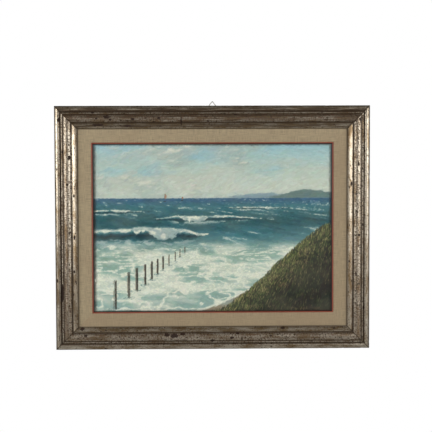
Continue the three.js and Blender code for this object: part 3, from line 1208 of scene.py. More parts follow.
# %% The fillet's rails
FILLET = outline((
    (FILLET_OUTER, CANVAS_SEAT),
    (FILLET_OUTER, SLIP_FACE - 0.4),
    (FILLET_OUTER + 1.8, SLIP_FACE + 0.2, 0.7),
    (FILLET_INNER - 0.5, CANVAS_SEAT + 1.1, -0.3),
    (FILLET_INNER, CANVAS_SEAT + 0.6),
    (FILLET_INNER, CANVAS_SEAT),
), step=0.35)


def make_plain_rails(name, section, cuts, finish, angle, node):
    """The four rails of one section, with one finish, in place of the four solids."""
    rails = []
    for side in SIDES:
        rail = make_rail(f"{name}_{side}", section, side_length(side), cuts)
        mark(rail, side)
        rail.data.materials.append(finish)
        smooth(rail, angle)
        set_in_frame(rail, side)
        hand_over(rail, f"{node}_{side}")
        rails.append(rail)
    return rails


make_plain_rails("red_fillet", FILLET, (13,), red, 50, "fillet")
print("fillet", round(FILLET_INNER - FILLET_OUTER, 2), "mm wide")

# %% [markdown]
# ## The stretcher
#
# Four softwood bars hold the canvas tight. Each bar falls away from the cloth towards its inner
# edge, so that only a narrow strip at the outer edge touches the back of the canvas.

# %% The stretcher's bars
BAR_OUTER, BAR_INNER, BAR_BACK, BAR_FRONT = section_of("stretcher_top")
BAR = outline((
    (BAR_OUTER + 0.6, BAR_BACK), (BAR_OUTER, BAR_BACK + 0.6),
    (BAR_OUTER, BAR_FRONT - 0.6), (BAR_OUTER + 0.6, BAR_FRONT),
    (BAR_OUTER + 6, BAR_FRONT),
    (BAR_INNER - 2, BAR_FRONT - 3),
    (BAR_INNER, BAR_FRONT - 5, 0.5),
    (BAR_INNER, BAR_BACK + 0.6), (BAR_INNER - 0.6, BAR_BACK),
), step=3)
bar_wood = old_wood("stretcher_wood", (0.47, 0.33, 0.19), (0.33, 0.21, 0.11))
bars = make_plain_rails("stretcher_bar", BAR, (9,), bar_wood, 35, "stretcher")
print("stretcher bars", round(BAR_INNER - BAR_OUTER, 1), "mm wide")

# %% [markdown]
# ## The canvas
#
# The cloth is one piece: its front, the four sides that go back round the bars, and a margin
# tacked to the bars' backs. It starts as a grid, its border is extruded back and then inwards,
# and a solidify modifier gives it the thickness of primed linen.
#
# Nothing of it is cut away at the corners.

# %% Making the canvas
CLOTH = 0.6  # the thickness of primed linen, in millimetres
CANVAS_BACK = BAR_BACK - CLOTH - 0.1
TACKED_MARGIN = 22
TURNED_BACK = CANVAS_FRONT - CANVAS_BACK


def make_canvas():
    start_alone()
    bpy.ops.mesh.primitive_grid_add(
        x_subdivisions=52, y_subdivisions=36, size=1, rotation=(math.radians(90), 0, 0),
        location=CENTRE - Vector((0, CANVAS_FRONT * MM, 0)),
    )
    canvas = named("canvas_cloth")
    canvas.scale = (CANVAS_WIDTH * MM, CANVAS_HEIGHT * MM, 1)
    apply_place(location=False)

    narrower = [1 - 2 * TACKED_MARGIN / size for size in (CANVAS_WIDTH, CANVAS_HEIGHT)]
    with editing():
        bpy.ops.mesh.select_mode(type="EDGE")
        bpy.ops.mesh.select_all(action="SELECT")
        bpy.ops.mesh.region_to_loop()
        for step in (TURNED_BACK * MM, 0):
            bpy.ops.mesh.extrude_edges_move(TRANSFORM_OT_translate={"value": (0, step, 0)})
        bpy.ops.transform.resize(value=(narrower[0], 1, narrower[1]))
        face_outwards()
    thick = canvas.modifiers.new("thickness", "SOLIDIFY")
    thick.thickness, thick.offset = CLOTH * MM, -1
    bpy.ops.object.modifier_apply(modifier="thickness")
    apply_place()
    return canvas


canvas = make_canvas()
print("canvas", len(canvas.data.polygons), "faces")


# %% Its cloth
def cloth_finish():
    """Raw linen, brown from age, with the weave drawn in the plane of the picture."""
    material, tree = new_finish("canvas_cloth")
    flat = in_picture(tree)
    threads = use_group(tree, weave_group, Vector=scaled(tree, flat, (1400, 1400, 1)))
    age = grain(tree, flat, (9, 9, 1), detail=4)
    # thread tops lighter and the gaps darker: painted shade in the weave
    colour = coats(
        tree, (0.20, 0.15, 0.09), (threads["Height"], (0.38, 0.30, 0.20)),
        (between(tree, age, 0.4, 0.75, 0, 0.5), (0.22, 0.15, 0.08)),
    )
    normal = bumped(tree, threads["Height"], 0.0002, 0.6)
    set_shader(tree, Base_Color=colour, Roughness=0.95, Normal=normal)
    return material


canvas.data.materials.append(cloth_finish())
hand_over(canvas, "canvas")

# %% [markdown]
# ## Planning the picture
#
# A painter blocks the picture in first and then works it up with smaller brushes. The same is
# done here with arrays. The plan is a soft colour for every spot of the canvas, laid layer
# over layer from the far to the near: sky and clouds, far hills, the open sea, breakers, foam,
# wet sand, a dune with grass. Each layer is a colour and a mask, made from named heights and
# places in millimetres from the canvas's upper left corner.
#
# The picture is a made-up coast in the cool, greyed colours of such seascapes.

# %% The plan's grid and its colours
PITCH = 1.05  # between two points of the paint film, in millimetres
COLUMNS, ROWS = int(CANVAS_WIDTH / PITCH), int(CANVAS_HEIGHT / PITCH)
east, south = np.meshgrid(np.arange(COLUMNS) * PITCH, np.arange(ROWS) * PITCH)
HORIZON = 150

MIXES = {  # as the eye judges them, from 0 to 255
    "blue sky": (136, 176, 184), "pale sky": (168, 186, 174), "cream": (198, 200, 184),
    "cloud shade": (150, 166, 158), "rose grey": (184, 182, 168),
    "far hill": (124, 146, 152), "near hill": (92, 116, 112),
    "deep blue": (52, 86, 114), "sea": (54, 104, 112), "teal": (32, 78, 84),
    "dark teal": (22, 50, 58), "glass green": (112, 158, 142), "shallow": (134, 160, 146),
    "foam": (204, 208, 192), "foam shade": (142, 162, 158), "wet sand": (128, 118, 98),
    "sand": (160, 142, 110), "earth": (46, 42, 34), "ochre": (140, 112, 74),
    "grass": (92, 104, 56), "dark grass": (40, 48, 34), "dry grass": (162, 148, 98),
    "sail": (146, 104, 80), "post": (40, 35, 32), "post light": (120, 102, 80),
}
PAINT = {name: np.array(mixed, float) for name, mixed in MIXES.items()}
print(len(PAINT), "mixes on a plan of", ROWS, "by", COLUMNS, "spots")


# %% Laying colours over the canvas
def mixed_as(colour):
    """A paint by its name. Any other colour, or a whole field of them, stays as it is."""
    return PAINT[colour] if isinstance(colour, str) else colour


def lay(under, *layers):
    """Coats of paint over a colour, each given as (paint, mask from 0 to 1)."""
    under = mixed_as(under)
    for over, mask in layers:
        mask = np.clip(mask, 0, 1)[..., None]
        under = under * (1 - mask) + mixed_as(over) * mask
    return under


def clumps(wide, high, seed, layers=4):
    """Layered noise over the canvas, with bumps of that size in millimetres."""
    return layered(east / wide, south / high, seed, layers)


def ramp(value, *steps):
    """A colour field that runs through (value, paint's name) steps."""
    places = [place for place, _ in steps]
    mixes = np.array([PAINT[name] for _, name in steps])
    return np.stack([np.interp(value, places, mixes[:, part]) for part in range(3)], -1)


# %% Sky and far land
def plan_sky():
    """Clouds over blue, hazy and pale down to the horizon."""
    field = ramp(south, (0, "blue sky"), (70, "pale sky"), (HORIZON, "cream"))
    body = layered(east / 170 + 1.7, south / 78, 41, layers=5) + 0.35 * clumps(46, 30, 47)
    cloud = ease(body, -0.12, 0.3)
    slope = np.gradient(body, axis=0) * 9 + np.gradient(body, axis=1) * 6
    clear = ease(clumps(110, 40, 58), 0.05, 0.5) * ease(south, 130, 60)
    return lay(
        field,
        ("cloud shade", cloud * 0.75),
        ("cream", cloud * ease(slope, -0.05, 0.3)),
        ("rose grey", ease(clumps(90, 24, 52), 0.1, 0.55) * 0.3),
        ("blue sky", clear * (1 - cloud * 0.6)),
        ("pale sky", ease(south, HORIZON - 45, HORIZON) * 0.55),
    )


def hill_mask(start, end, height, seed):
    """Where a range of hills stands on the horizon."""
    rise = ease(east, start, start + 0.45 * (end - start)) * ease(east, end, end - 60)
    top = HORIZON - height * rise * (0.75 + 0.4 * wavy(east, 60, seed))
    return ease(south, top - 0.8, top + 0.8) * (south < HORIZON) * (rise > 0.01)


# %% The open sea
def plan_sea(field):
    """Ripples that grow wider towards the shore, with foam on the highest."""
    off = np.maximum(0, south - HORIZON)
    sea = ramp(
        off, (0, "deep blue"), (22, "sea"), (60, "teal"), (100, "sea"), (150, "shallow"),
        (300, "foam shade"),
    )
    rows = np.log1p(off / 11) * 8
    ripple = layered(east / (7 + off * 0.35), rows, 61)
    sea = sea + (ripple * 20 * (1 - 0.3 * ease(off, 90, 200)))[..., None]
    crests = ease(ripple + 0.3 * layered(east / 60, rows, 66), 0.42, 0.62)
    sea = lay(sea, ("foam", crests * 0.75))
    return lay(field, (sea, ease(south, HORIZON - 0.6, HORIZON + 0.6)))


# %% Breakers
# (from, to, height of the crest's line, height of the wave)
BREAKERS = ((330, 560, 176, 6), (-60, 170, 186, 9), (150, 470, 204, 15), (-90, 330, 246, 32))


def plan_breaker(field, start, end, crest, height, seed):
    """A wave's glassy face, its foam cap and the broken water before it."""
    rise = ease(east, start, start + 90) * ease(east, end, end - 110)
    wander = 0.2 * height * wavy(east, 70, seed)
    tall = height * rise * (0.85 + 0.3 * wavy(east, 33, seed + 1))
    top = crest + wander - tall * 0.45
    down = (south - top) / np.maximum(tall, 0.3)
    there = ease(down, -0.04, 0.05) * ease(down, 1.35, 1.0) * (rise > 0.04)
    face = ramp(down, (0, "glass green"), (0.25, "sea"), (0.6, "dark teal"), (1, "teal"))
    face = face + (16 * layered(east / 5 + down * 3, down * 2, seed + 2))[..., None]

    falling = wavy(east, 42, seed + 3)
    reach = 0.16 + 0.8 * ease(falling, -0.15, 0.5) + 0.2 * clumps(9, 6, seed + 4)
    cap = ease(down, -0.22, -0.02) * ease(down, reach + 0.12, reach - 0.05) * (rise > 0.04)
    lumps = clumps(height * 0.5, height * 0.28, seed + 5)
    foam = lay("foam shade", ("foam", ease(lumps - down * 0.5, -0.5, 0.15)))
    broken = ease(down, 0.95, 1.1) * ease(down, 1.9, 1.2) * rise
    churn = ease(clumps(16, 5, seed + 6), -0.25, 0.15)
    return lay(field, (face, there), (foam, cap), (foam, broken * churn))


# %% Foam on the shallows
SHALLOWS = 262  # where they begin


def plan_lace(field):
    """Foam left on the shallows: thin bright walls between rounded dark gaps."""
    off = south - SHALLOWS
    net = np.abs(layered(east / 42, south / (5 + np.maximum(off, 0) * 0.055), 91, layers=3))
    wall = ease(net, 0.17, 0.03) * ease(off, 0, 40)
    patch = ease(clumps(90, 26, 95) + 0.12, -0.15, 0.3) * ease(off, 0, 26)
    shallow = ease(off, 10, 90) * 0.35
    return lay(field, ("glass green", shallow), ("foam", patch * 0.7), (PAINT["foam"] * 1.02, wall))


# %% The beach
def plan_beach(field):
    """Wet sand that mirrors the sky, dry sand, and two lines of foam along the water."""
    shore = 474 - 150 * ease(east, 190, 640) + 7 * wavy(east, 70, 71)
    wet = south - shore
    mirror = lay("wet sand", ("foam shade", ease(clumps(60, 14, 73), -0.1, 0.5) * 0.6))
    first = close_to(wet + 1.5 * wavy(east, 9, 75), 0, 4.5, 1.5)
    second = close_to(wet - 19 - 4 * wavy(east, 40, 77), 0, 2.4, 0.8)
    return lay(
        field,
        (mirror, ease(wet, 0, 3)),
        ("sand", ease(wet, 40, 75) * 0.6),
        ("foam", first),
        ("foam", second * ease(wavy(east, 30, 78), -0.3, 0.2) * 0.8),
    )


# %% The dune
DUNE_FROM, DUNE_TO = 296, 700  # along the picture
DUNE_FOOT, DUNE_HEIGHT = 472, 262


def dune_top(x):
    """How far down the dune's ridge lies at that place along the picture."""
    return DUNE_FOOT - DUNE_HEIGHT * ease(x, DUNE_FROM, DUNE_TO) ** 0.9 + 6 * wavy(x, 38, 81)


def plan_dune(field):
    """Grass and lit earth below the ridge, darker further down."""
    deep = south - dune_top(east)
    lit = layered((east - south * 0.6) / 26, (south + east * 0.3) / 15, 85)
    bank = lay(
        "dark grass",
        ("earth", ease(clumps(30, 22, 83), -0.2, 0.25)),
        ("ochre", ease(lit, 0.1, 0.6) * 0.5),
        ("sand", ease(lit, 0.4, 0.8) * 0.35),
        ("grass", ease(clumps(36, 20, 87), 0.05, 0.4) * ease(deep, 60, 0)),
    )
    bank = bank * (1 - 0.3 * ease(deep, 15, 120))[..., None]
    return lay(field, (bank, ease(deep, -0.6, 0.8)))


# %% The whole plan
def painted_edge_shadow():
    """Darkens the plan along the fillet, most at both sides, as a painted shadow of the fillet."""
    hidden = FILLET_INNER - CANVAS_EDGE
    from_side = np.minimum(east, CANVAS_WIDTH - east) - hidden
    from_level = np.minimum(south, CANVAS_HEIGHT - south) - hidden
    return 1 - 0.5 * np.maximum(ease(from_side, 9, 0.5), ease(from_level, 4.5, 0.5))


def plan_picture():
    far, near = hill_mask(300, 760, 20, 31), hill_mask(430, 800, 27, 35)
    field = plan_sea(lay(plan_sky(), ("far hill", far), ("near hill", near)))
    for number, breaker in enumerate(BREAKERS):
        field = plan_breaker(field, *breaker, 200 + 10 * number)
    for plan_part in (plan_lace, plan_beach, plan_dune):
        field = plan_part(field)
    return np.clip(field * painted_edge_shadow()[..., None], 8, 235)


plan = plan_picture()
print("the plan's average colour:", plan.mean((0, 1)).round())

# %% [markdown]
# ## Brushes
#
# What one touch of a flat hog's hair brush leaves is a stamp: how much it covers, how its
# colour varies from hair to hair, and how thick the paint lies. The stamps are made once, in
# five sizes and many directions. A finer buffer than the plan's takes the touches.

# %% Stamps
CELL = PITCH / 2
# Length and width of a touch, in millimetres
BRUSHES = ((27, 8.5), (16, 4.8), (9.5, 2.7), (5.4, 1.6), (13, 1.25))
BROAD, MIDDLE, SMALL, DAB, RIGGER = range(5)
DIRECTIONS, VARIANTS = 24, 3


def make_stamp(length, width, angle, seed):
    """A touch in one direction: its cover, its change of colour and its thickness."""
    reach = math.ceil((length + width) / 2 / CELL) + 1
    down, right = np.mgrid[-reach:reach + 1, -reach:reach + 1] * CELL
    along = (right * math.cos(angle) + down * math.sin(angle)) / length + 0.5
    bow = length * 0.3 * noise(seed * 0.37, 0.5, 5) * along * (1 - along)
    across = (down * math.cos(angle) - right * math.sin(angle) - bow) * 2 / width
    hair = layered(across * 3.1 + seed, along * 1.4, seed, layers=3)
    edge = ease(np.abs(across) + 0.2 * hair, 1.1, 0.8)
    ends = ease(along + 0.06 * hair, 0, 0.08) * ease(along + 0.28 * hair, 1, 0.72)
    cover = edge * ends * np.clip(0.9 + 0.4 * hair, 0, 1)
    ridge = 0.5 + 0.5 * hair + 0.4 * ease(np.abs(across), 0.55, 0.9) + 0.4 * ease(along, 0.7, 0.9)
    return cover, 1 + 0.075 * hair, cover * ridge


def stamps_of(brush, turn):
    angle, seed = math.pi * turn / DIRECTIONS, 11 * turn + 3
    return [make_stamp(*BRUSHES[brush], angle, seed + 5 * variant) for variant in range(VARIANTS)]


STAMPS = [[stamps_of(brush, turn) for turn in range(DIRECTIONS)] for brush in range(len(BRUSHES))]
print(len(BRUSHES) * DIRECTIONS * VARIANTS, "stamps")

# %% [markdown]
# ## Painting
#
# `touch` lays one stroke and picks up a little of the wet paint below it. `work_up` goes over
# the whole picture with one brush, and keeps a touch only where the canvas still differs from
# the plan, so the fine brushes end up at the edges and in the foam, as a painter's would. The
# strokes run along the forms, which are read from how the plan's light and dark change.

# %% The directions of the strokes
def blurred(field, times):
    for _ in range(times):
        field = (field + np.roll(field, 1, 0) + np.roll(field, -1, 0)
                 + np.roll(field, 1, 1) + np.roll(field, -1, 1)) / 5
    return field


def stroke_ways():
    """The angle of a stroke at every spot, from its form and, on even ground, from habit."""
    light = blurred(plan.mean(-1), 6)
    fall, go = np.gradient(light)
    habit = -0.25 + 0.9 * clumps(85, 55, 121)
    habit = np.where(south > HORIZON, 0.04 * clumps(60, 30, 122), habit)
    habit = np.where(south > dune_top(east), -1.15 + 0.5 * clumps(40, 40, 123), habit)
    turned = np.arctan2(fall, go) + math.pi / 2
    weight = np.hypot(fall, go)
    twice_x = blurred(np.cos(2 * turned) * weight, 8) + 0.35 * np.cos(2 * habit)
    twice_y = blurred(np.sin(2 * turned) * weight, 8) + 0.35 * np.sin(2 * habit)
    return np.arctan2(twice_y, twice_x) / 2


ways = stroke_ways()
print("the strokes' angles run from", round(ways.min(), 2), "to", round(ways.max(), 2))

# %% Touches
SPARE = 48  # cells round the buffer, so that a stroke may run over the canvas's edge
GROUND, WASH = (150, 132, 104), 0.8  # a warm ground, and a thin wash of the plan over it
paint = np.zeros((2 * ROWS + 2 * SPARE, 2 * COLUMNS + 2 * SPARE, 3))
paint[:] = GROUND
paint[SPARE:-SPARE, SPARE:-SPARE] += WASH * (plan.repeat(2, 0).repeat(2, 1) - paint[0, 0])
relief = np.zeros(paint.shape[:2])
hand = np.random.default_rng(7)
PICKED_UP = 0.12  # how much of the wet paint below a touch mixes into it


def touch(x, y, brush, angle, mixed, cover=1.0, load=1.0):
    """One stroke, centred there, in millimetres."""
    turn = int(round(angle * DIRECTIONS / math.pi)) % DIRECTIONS
    shape, tone, ridge = STAMPS[brush][turn][int(hand.integers(VARIANTS))]
    reach = shape.shape[0] // 2
    row, column = int(y / CELL) + SPARE, int(x / CELL) + SPARE
    if not (reach <= row < paint.shape[0] - reach and reach <= column < paint.shape[1] - reach):
        return
    window = np.s_[row - reach:row + reach + 1, column - reach:column + reach + 1]
    mixed = np.asarray(mixed) * (1 - PICKED_UP) + paint[row, column] * PICKED_UP
    share = shape * cover
    paint[window] += share[..., None] * (mixed * tone[..., None] - paint[window])
    relief[window] += share * (ridge * load - relief[window])


def work_up(brush, count, keep, load=1.0, lively=5):
    """Goes over the picture with one brush, where the paint is off the plan by more than keep."""
    xs, ys = hand.uniform(0, CANVAS_WIDTH, count), hand.uniform(0, CANVAS_HEIGHT, count)
    columns = np.minimum((xs / PITCH).astype(int), COLUMNS - 1)
    rows = np.minimum((ys / PITCH).astype(int), ROWS - 1)
    wanted = plan[rows, columns]
    values = hand.normal(0, lively, count)[:, None] + hand.normal(0, lively * 0.45, (count, 3))
    angles = ways[rows, columns] + hand.normal(0, 0.16, count)
    used = 0
    tries = zip(xs, ys, rows, columns, wanted, values, angles)
    for x, y, row, column, mixed, jitter, angle in tries:
        there = paint[2 * row + SPARE, 2 * column + SPARE]
        if np.abs(there - mixed).max() > keep:
            touch(x, y, brush, angle, mixed + jitter, 0.94, load)
            used += 1
    return used


# %% Working the picture up
touches = work_up(BROAD, 5200, 0, 0.7)
touches += work_up(MIDDLE, 12500, 7, 0.8)
touches += work_up(SMALL, 30000, 11)
touches += work_up(DAB, 60000, 16, 0.9, 3)
print(touches, "touches over the whole picture")

# %% [markdown]
# The last touches are set one by one. The sea's far edge is straightened with level strokes.
# Then come two sails far out, thick light paint on the foam, a row of old posts that runs into
# the surf, and grass on the dune.


# %% The horizon and the sails
def draw_horizon():
    """Straightens the sea's far edge with level strokes below and above it."""
    for below in (-1.7, 1.5):
        row = int((HORIZON + 2.5 * below) / PITCH)
        for x in np.arange(0, CANVAS_WIDTH, 5.5):
            mixed = plan[row, min(int(x / PITCH), COLUMNS - 1)]
            touch(x, HORIZON + below, RIGGER, 0, mixed + hand.normal(0, 2), 0.95, 0.8)


def paint_sail(x, height):
    """A leaning sail in a few strokes, with its dark hull below."""
    foot = HORIZON + 3 + height * 0.1
    brush = RIGGER if height > 12 else DAB
    for step in np.linspace(0, 1, 7):
        middle = (x + height * 0.16 * step, foot - height * (0.5 - 0.2 * step))
        angle, light = math.radians(-82 + 20 * step), 0.85 + 0.3 * step
        touch(*middle, brush, angle, PAINT["sail"] * light, 0.95, 1.3)
    touch(x + height * 0.1, foot + height * 0.12, DAB, 0.02, PAINT["post"], 0.95)
    touch(x - height * 0.05, foot + height * 0.15, DAB, 0.02, PAINT["post"], 0.9)


# %% The breakwater
POSTS = 11
NEAREST, FARTHEST = (60, 446), (250, 296)  # their feet
TALLEST, SHORTEST = 71, 13


def paint_post(share):
    """A post of the breakwater: share runs from 0 for the nearest to 1 for the farthest."""
    away = share**0.7
    x = NEAREST[0] + (FARTHEST[0] - NEAREST[0]) * away + 3 * noise(share * 9, 0.5, 131)
    foot = NEAREST[1] + (FARTHEST[1] - NEAREST[1]) * away
    height = (TALLEST - SHORTEST) * (1 - share) ** 1.3 + SHORTEST
    half, brush = 0.045 * height, SMALL if height > 30 else DAB
    for level in np.linspace(0, 1, max(4, int(height / 4))):
        y = foot - height * level
        upright = math.radians(88 + hand.normal(0, 4))
        touch(x, y, brush, upright, PAINT["post"] + hand.normal(0, 6), 0.96, 1.1)
        shadow = PAINT["earth"] * 0.8 + hand.normal(0, 4)
        touch(x + half, y, brush, math.radians(91), shadow, 0.9, 1.1)
        if hand.random() < 0.75:
            light = PAINT["post light"] * hand.uniform(0.75, 1.1)
            touch(x - half, y, DAB, math.radians(90 + hand.normal(0, 5)), light, 0.85, 1.3)
    for _ in range(int(height / 3)):
        spread = hand.normal(0, height * 0.13)
        touch(x + spread, foot + hand.normal(2, 2), DAB, hand.normal(0, 0.15), PAINT["teal"], 0.5)
        y = foot + 3 + hand.normal(0, 2)
        touch(x + spread * 1.4, y, DAB, hand.normal(0, 0.2), PAINT["foam"], 0.85, 1.6)


# %% Grass and foam
GRASSES = {"dark grass": 0.36, "grass": 0.3, "dry grass": 0.16, "earth": 0.18}  # their shares
GRASS_FROM, GRASS_TO = 330, 655  # along the picture
FOAM_FROM = 176  # how bright the plan is where it is foam


def paint_grass(count):
    """Thin leaning blades, thickest along the dune's ridge and darker further down."""
    for _ in range(count):
        x = hand.uniform(GRASS_FROM, GRASS_TO)
        deep = hand.exponential(62) - 4
        y = float(dune_top(x)) + deep
        lean = math.radians(-72 + 14 * float(noise(x / 34, 0.5, 133)) + hand.normal(0, 9))
        name = hand.choice(list(GRASSES), p=list(GRASSES.values()))
        blade = PAINT[name] * hand.uniform(0.85, 1.12) * (1 - 0.35 * ease(deep, 8, 120))
        touch(x, y, RIGGER if hand.random() < 0.6 else DAB, lean, blade, 0.9, 1.2)


def paint_foam(count):
    """Thick light dabs where the plan is brightest."""
    bright = plan.min(-1) * (south > HORIZON + 8) * (south < dune_top(east) - 4)
    rows, columns = np.nonzero(bright > FOAM_FROM)
    for pick in hand.integers(len(rows), size=count):
        row, column = rows[pick], columns[pick]
        tint = PAINT["foam"] * hand.uniform(0.98, 1.1) + (3, 2, -4)
        angle = ways[row, column] + hand.normal(0, 0.35)
        touch(column * PITCH, row * PITCH, DAB, angle, tint, 0.9, 1.9)


# %% Putting them on
draw_horizon()
paint_sail(196, 24)
paint_sail(243, 12)
paint_foam(2600)
for share in np.linspace(1, 0, POSTS):
    paint_post(share)
paint_grass(7000)
paint = np.clip(paint, 0, 245)
print("the thickest paint stands", round(float(relief.max()), 2), "times one load")

# %% [markdown]
# ## The paint film
#
# Oil paint has a body: it stands up in ridges where a loaded brush stopped. So the film is a
# mesh, one fine grid for each third of the picture, raised by the thickness that the touches
# left and coloured point by point. Its border is extruded back to the canvas and filled, which
# makes each third a closed, thin body. Where the slip's lip presses on it, it lies flat.

# %% From the buffers to points
FILM_LEAST, FILM_BODY = 0.08, 0.26  # millimetres: the thinnest paint, and one load of the brush


def linear(mixed):
    """From the mixes' scale of 0 to 255, as the eye judges them, to the renderer's light."""
    share = np.clip(mixed, 0, 255) / 255
    return np.where(share < 0.04045, share / 12.92, ((share + 0.055) / 1.055) ** 2.4)


def halved(buffer):
    """Each plan spot's average of its four cells."""
    inside = buffer[SPARE:SPARE + 2 * ROWS, SPARE:SPARE + 2 * COLUMNS]
    return (inside[0::2, 0::2] + inside[1::2, 0::2] + inside[0::2, 1::2] + inside[1::2, 1::2]) / 4


film_colour = linear(halved(paint))
from_edge = np.minimum(np.minimum(east, east.max() - east), np.minimum(south, south.max() - south))
film_height = FILM_LEAST + FILM_BODY * halved(relief) * ease(from_edge, 5.5, 9.5)
print("paint from", round(film_height.min(), 2), "to", round(film_height.max(), 2), "mm thick")


# %% The film's material
GRIME, VARNISH = (0.05, 0.055, 0.05), (0.30, 0.26, 0.15)


def oil_paint():
    """The points' colours under an old, uneven varnish, with the canvas's grain in it."""
    material, tree = new_finish("oil_paint")
    own = add(tree, "ShaderNodeAttribute", {"attribute_name": "paint"}).outputs["Color"]
    flat = in_picture(tree)
    weave = use_group(tree, weave_group, Vector=scaled(tree, flat, (900, 900, 1)))
    bristle = grain(tree, flat, (420, 1300, 1), detail=3)
    film = grain(tree, flat, (14, 20, 1), detail=3)
    colour = coats(
        tree, own, (between(tree, bristle, 0.3, 0.7, 0, 0.12), GRIME),
        (between(tree, film, 0.35, 0.7, 0, 0.07), VARNISH),
    )
    normal = bumped(tree, weave["Height"], 0.00012, 0.5)
    set_shader(
        tree, Base_Color=colour, Specular_IOR_Level=0.28,
        Roughness=between(tree, film, 0.3, 0.7, 0.36, 0.54),
        Normal=bumped(tree, bristle, 0.0002, 0.5, under=normal),
    )
    return material


paint_finish = oil_paint()
print(len(paint_finish.node_tree.nodes), "nodes in the oil paint")


# %% The three thirds
def close_behind(film):
    """Extrudes the film's border back to the canvas and fills it, which makes a thin body."""
    with editing():
        bpy.context.tool_settings.mesh_select_mode = (False, True, False)
        bpy.ops.mesh.select_all(action="SELECT")
        bpy.ops.mesh.region_to_loop()
        bpy.ops.mesh.extrude_edges_move(TRANSFORM_OT_translate={"value": (0, 0.1, 0)})
    place = positions(film)
    place[place[:, 1] > BACK_Y, 1] = BACK_Y - (CANVAS_FRONT + 0.01) * MM
    put_positions(film, place)
    with editing():
        bpy.ops.mesh.edge_face_add()


def make_film(name, first, last):
    """The film between two rows of the plan, counted from above."""
    start_alone()
    bpy.ops.mesh.primitive_grid_add(x_subdivisions=COLUMNS - 1, y_subdivisions=last - first, size=1)
    film = named(name)
    order = np.arange(last, first - 1, -1)  # a grid's points run from below to above
    height = CANVAS_FRONT + film_height[order]
    x = (east[order] - east.max() / 2) * MM
    z = CENTRE.z + (south.max() / 2 - south[order]) * MM
    put_positions(film, np.stack((x, BACK_Y - height * MM, z), -1).reshape(-1, 3))
    colours = film.data.color_attributes.new("paint", "FLOAT_COLOR", "POINT")
    solid = np.insert(film_colour[order], 3, 1, axis=-1)
    colours.data.foreach_set("color", solid.astype(np.float32).ravel())
    close_behind(film)
    film.data.materials.append(paint_finish)
    smooth(film, 60)
    hand_over(film)
    return film


third = (ROWS - 1) // 3
films = [
    make_film("paint_sky", 0, third),
    make_film("paint_sea", third, 2 * third),
    make_film("paint_shore", 2 * third, ROWS - 1),
]
print([len(film.data.polygons) for film in films], "faces in the film")

# %% [markdown]
# ## What holds it together behind
#
# Small blued tacks hold the cloth's margin to the bars, and nails driven into the slip's back
# are bent over to keep the stretcher in. One of each is modelled, and every other is a copy
# with its own mesh.

# %% Steel
RUST = (0.11, 0.05, 0.025)


def steel_finish(name, colour, rust):
    """Steel that turns to brown rust above that much of the noise."""
    material, tree = new_finish(name)
    place = add(tree, "ShaderNodeTexCoord").outputs["Object"]
    patches = grain(tree, place, (260, 260, 260), detail=4, roughness=0.7)
    rusted = between(tree, patches, rust, rust + 0.14)
    set_shader(
        tree, Base_Color=mix(tree, rusted, colour, RUST),
        Metallic=between(tree, rusted, 0, 1, 0.95, 0.1),
        Roughness=between(tree, patches, 0.2, 0.8, 0.26, 0.6),
        Normal=bumped(tree, patches, 0.0002, 0.4),
    )
    return material


tack_steel = steel_finish("tack_steel", (0.12, 0.12, 0.13), 0.5)
print(len(tack_steel.node_tree.nodes), "nodes in the steel")


# %% Copies, joins and dressing
def copy_to(piece, side, along, outward):
    """A copy with its own mesh, moved along and out from the centre, in millimetres, and
    then turned with its side."""
    start_alone(piece)
    bpy.ops.object.duplicate(linked=False)
    twin = bpy.context.object
    step = Matrix.Translation((along * MM, 0, outward * MM))
    twin.matrix_world = Matrix.Translation(CENTRE) @ side_turn(side) @ step
    return twin


def dress(piece, finish, angle, node=None):
    """Gives a steel piece its finish, smooths it and hands it over."""
    piece.data.materials.clear()
    piece.data.materials.append(finish)
    smooth(piece, angle)
    hand_over(piece, node)


def join(parts, name):
    start_alone(*parts)
    bpy.ops.object.join()
    joined = named(name)
    apply_place()
    dress(joined, tack_steel, 40)
    print(len(parts), "pieces with", len(joined.data.polygons), "faces in", name)


def canvas_side(side):
    """How long the canvas is on that side, and how far the side is from the middle."""
    sizes = (CANVAS_WIDTH, CANVAS_HEIGHT) if is_level(side) else (CANVAS_HEIGHT, CANVAS_WIDTH)
    return sizes[0], sizes[1] / 2


# %% Tacks
TACK_HEAD, TACK_DOME = 2.6, 0.34  # its radius, and its height as a share of that
TACK_PITCH, TACK_CORNER, TACK_INSET = 62, 25, 11


def make_tack():
    """The domed head on the cloth. Its nail is inside the bar."""
    start_alone()
    bpy.ops.mesh.primitive_uv_sphere_add(segments=12, ring_count=6, radius=TACK_HEAD)
    tack = bpy.context.object
    place = positions(tack) * (1, TACK_DOME, 1) - (0, CANVAS_BACK, 0)
    put_positions(tack, place * MM)
    return tack


tack = make_tack()
tacks = []
for side in SIDES:
    length, outward = canvas_side(side)
    length -= 2 * TACK_CORNER
    count = round(length / TACK_PITCH)
    for number in range(count + 1):
        along = length * (number / count - 0.5)
        tacks.append(copy_to(tack, side, along, outward - TACK_INSET))
bpy.data.objects.remove(tack)
join(tacks, "tacks")


# %% Bent nails
NAIL = 0.75  # the nail's radius
NAIL_SHANK, NAIL_END, NAIL_BEND = 12, 13, 2  # lengths before and after the bend, its radius
NAIL_CORNER, NAIL_OUTSIDE = 85, 5


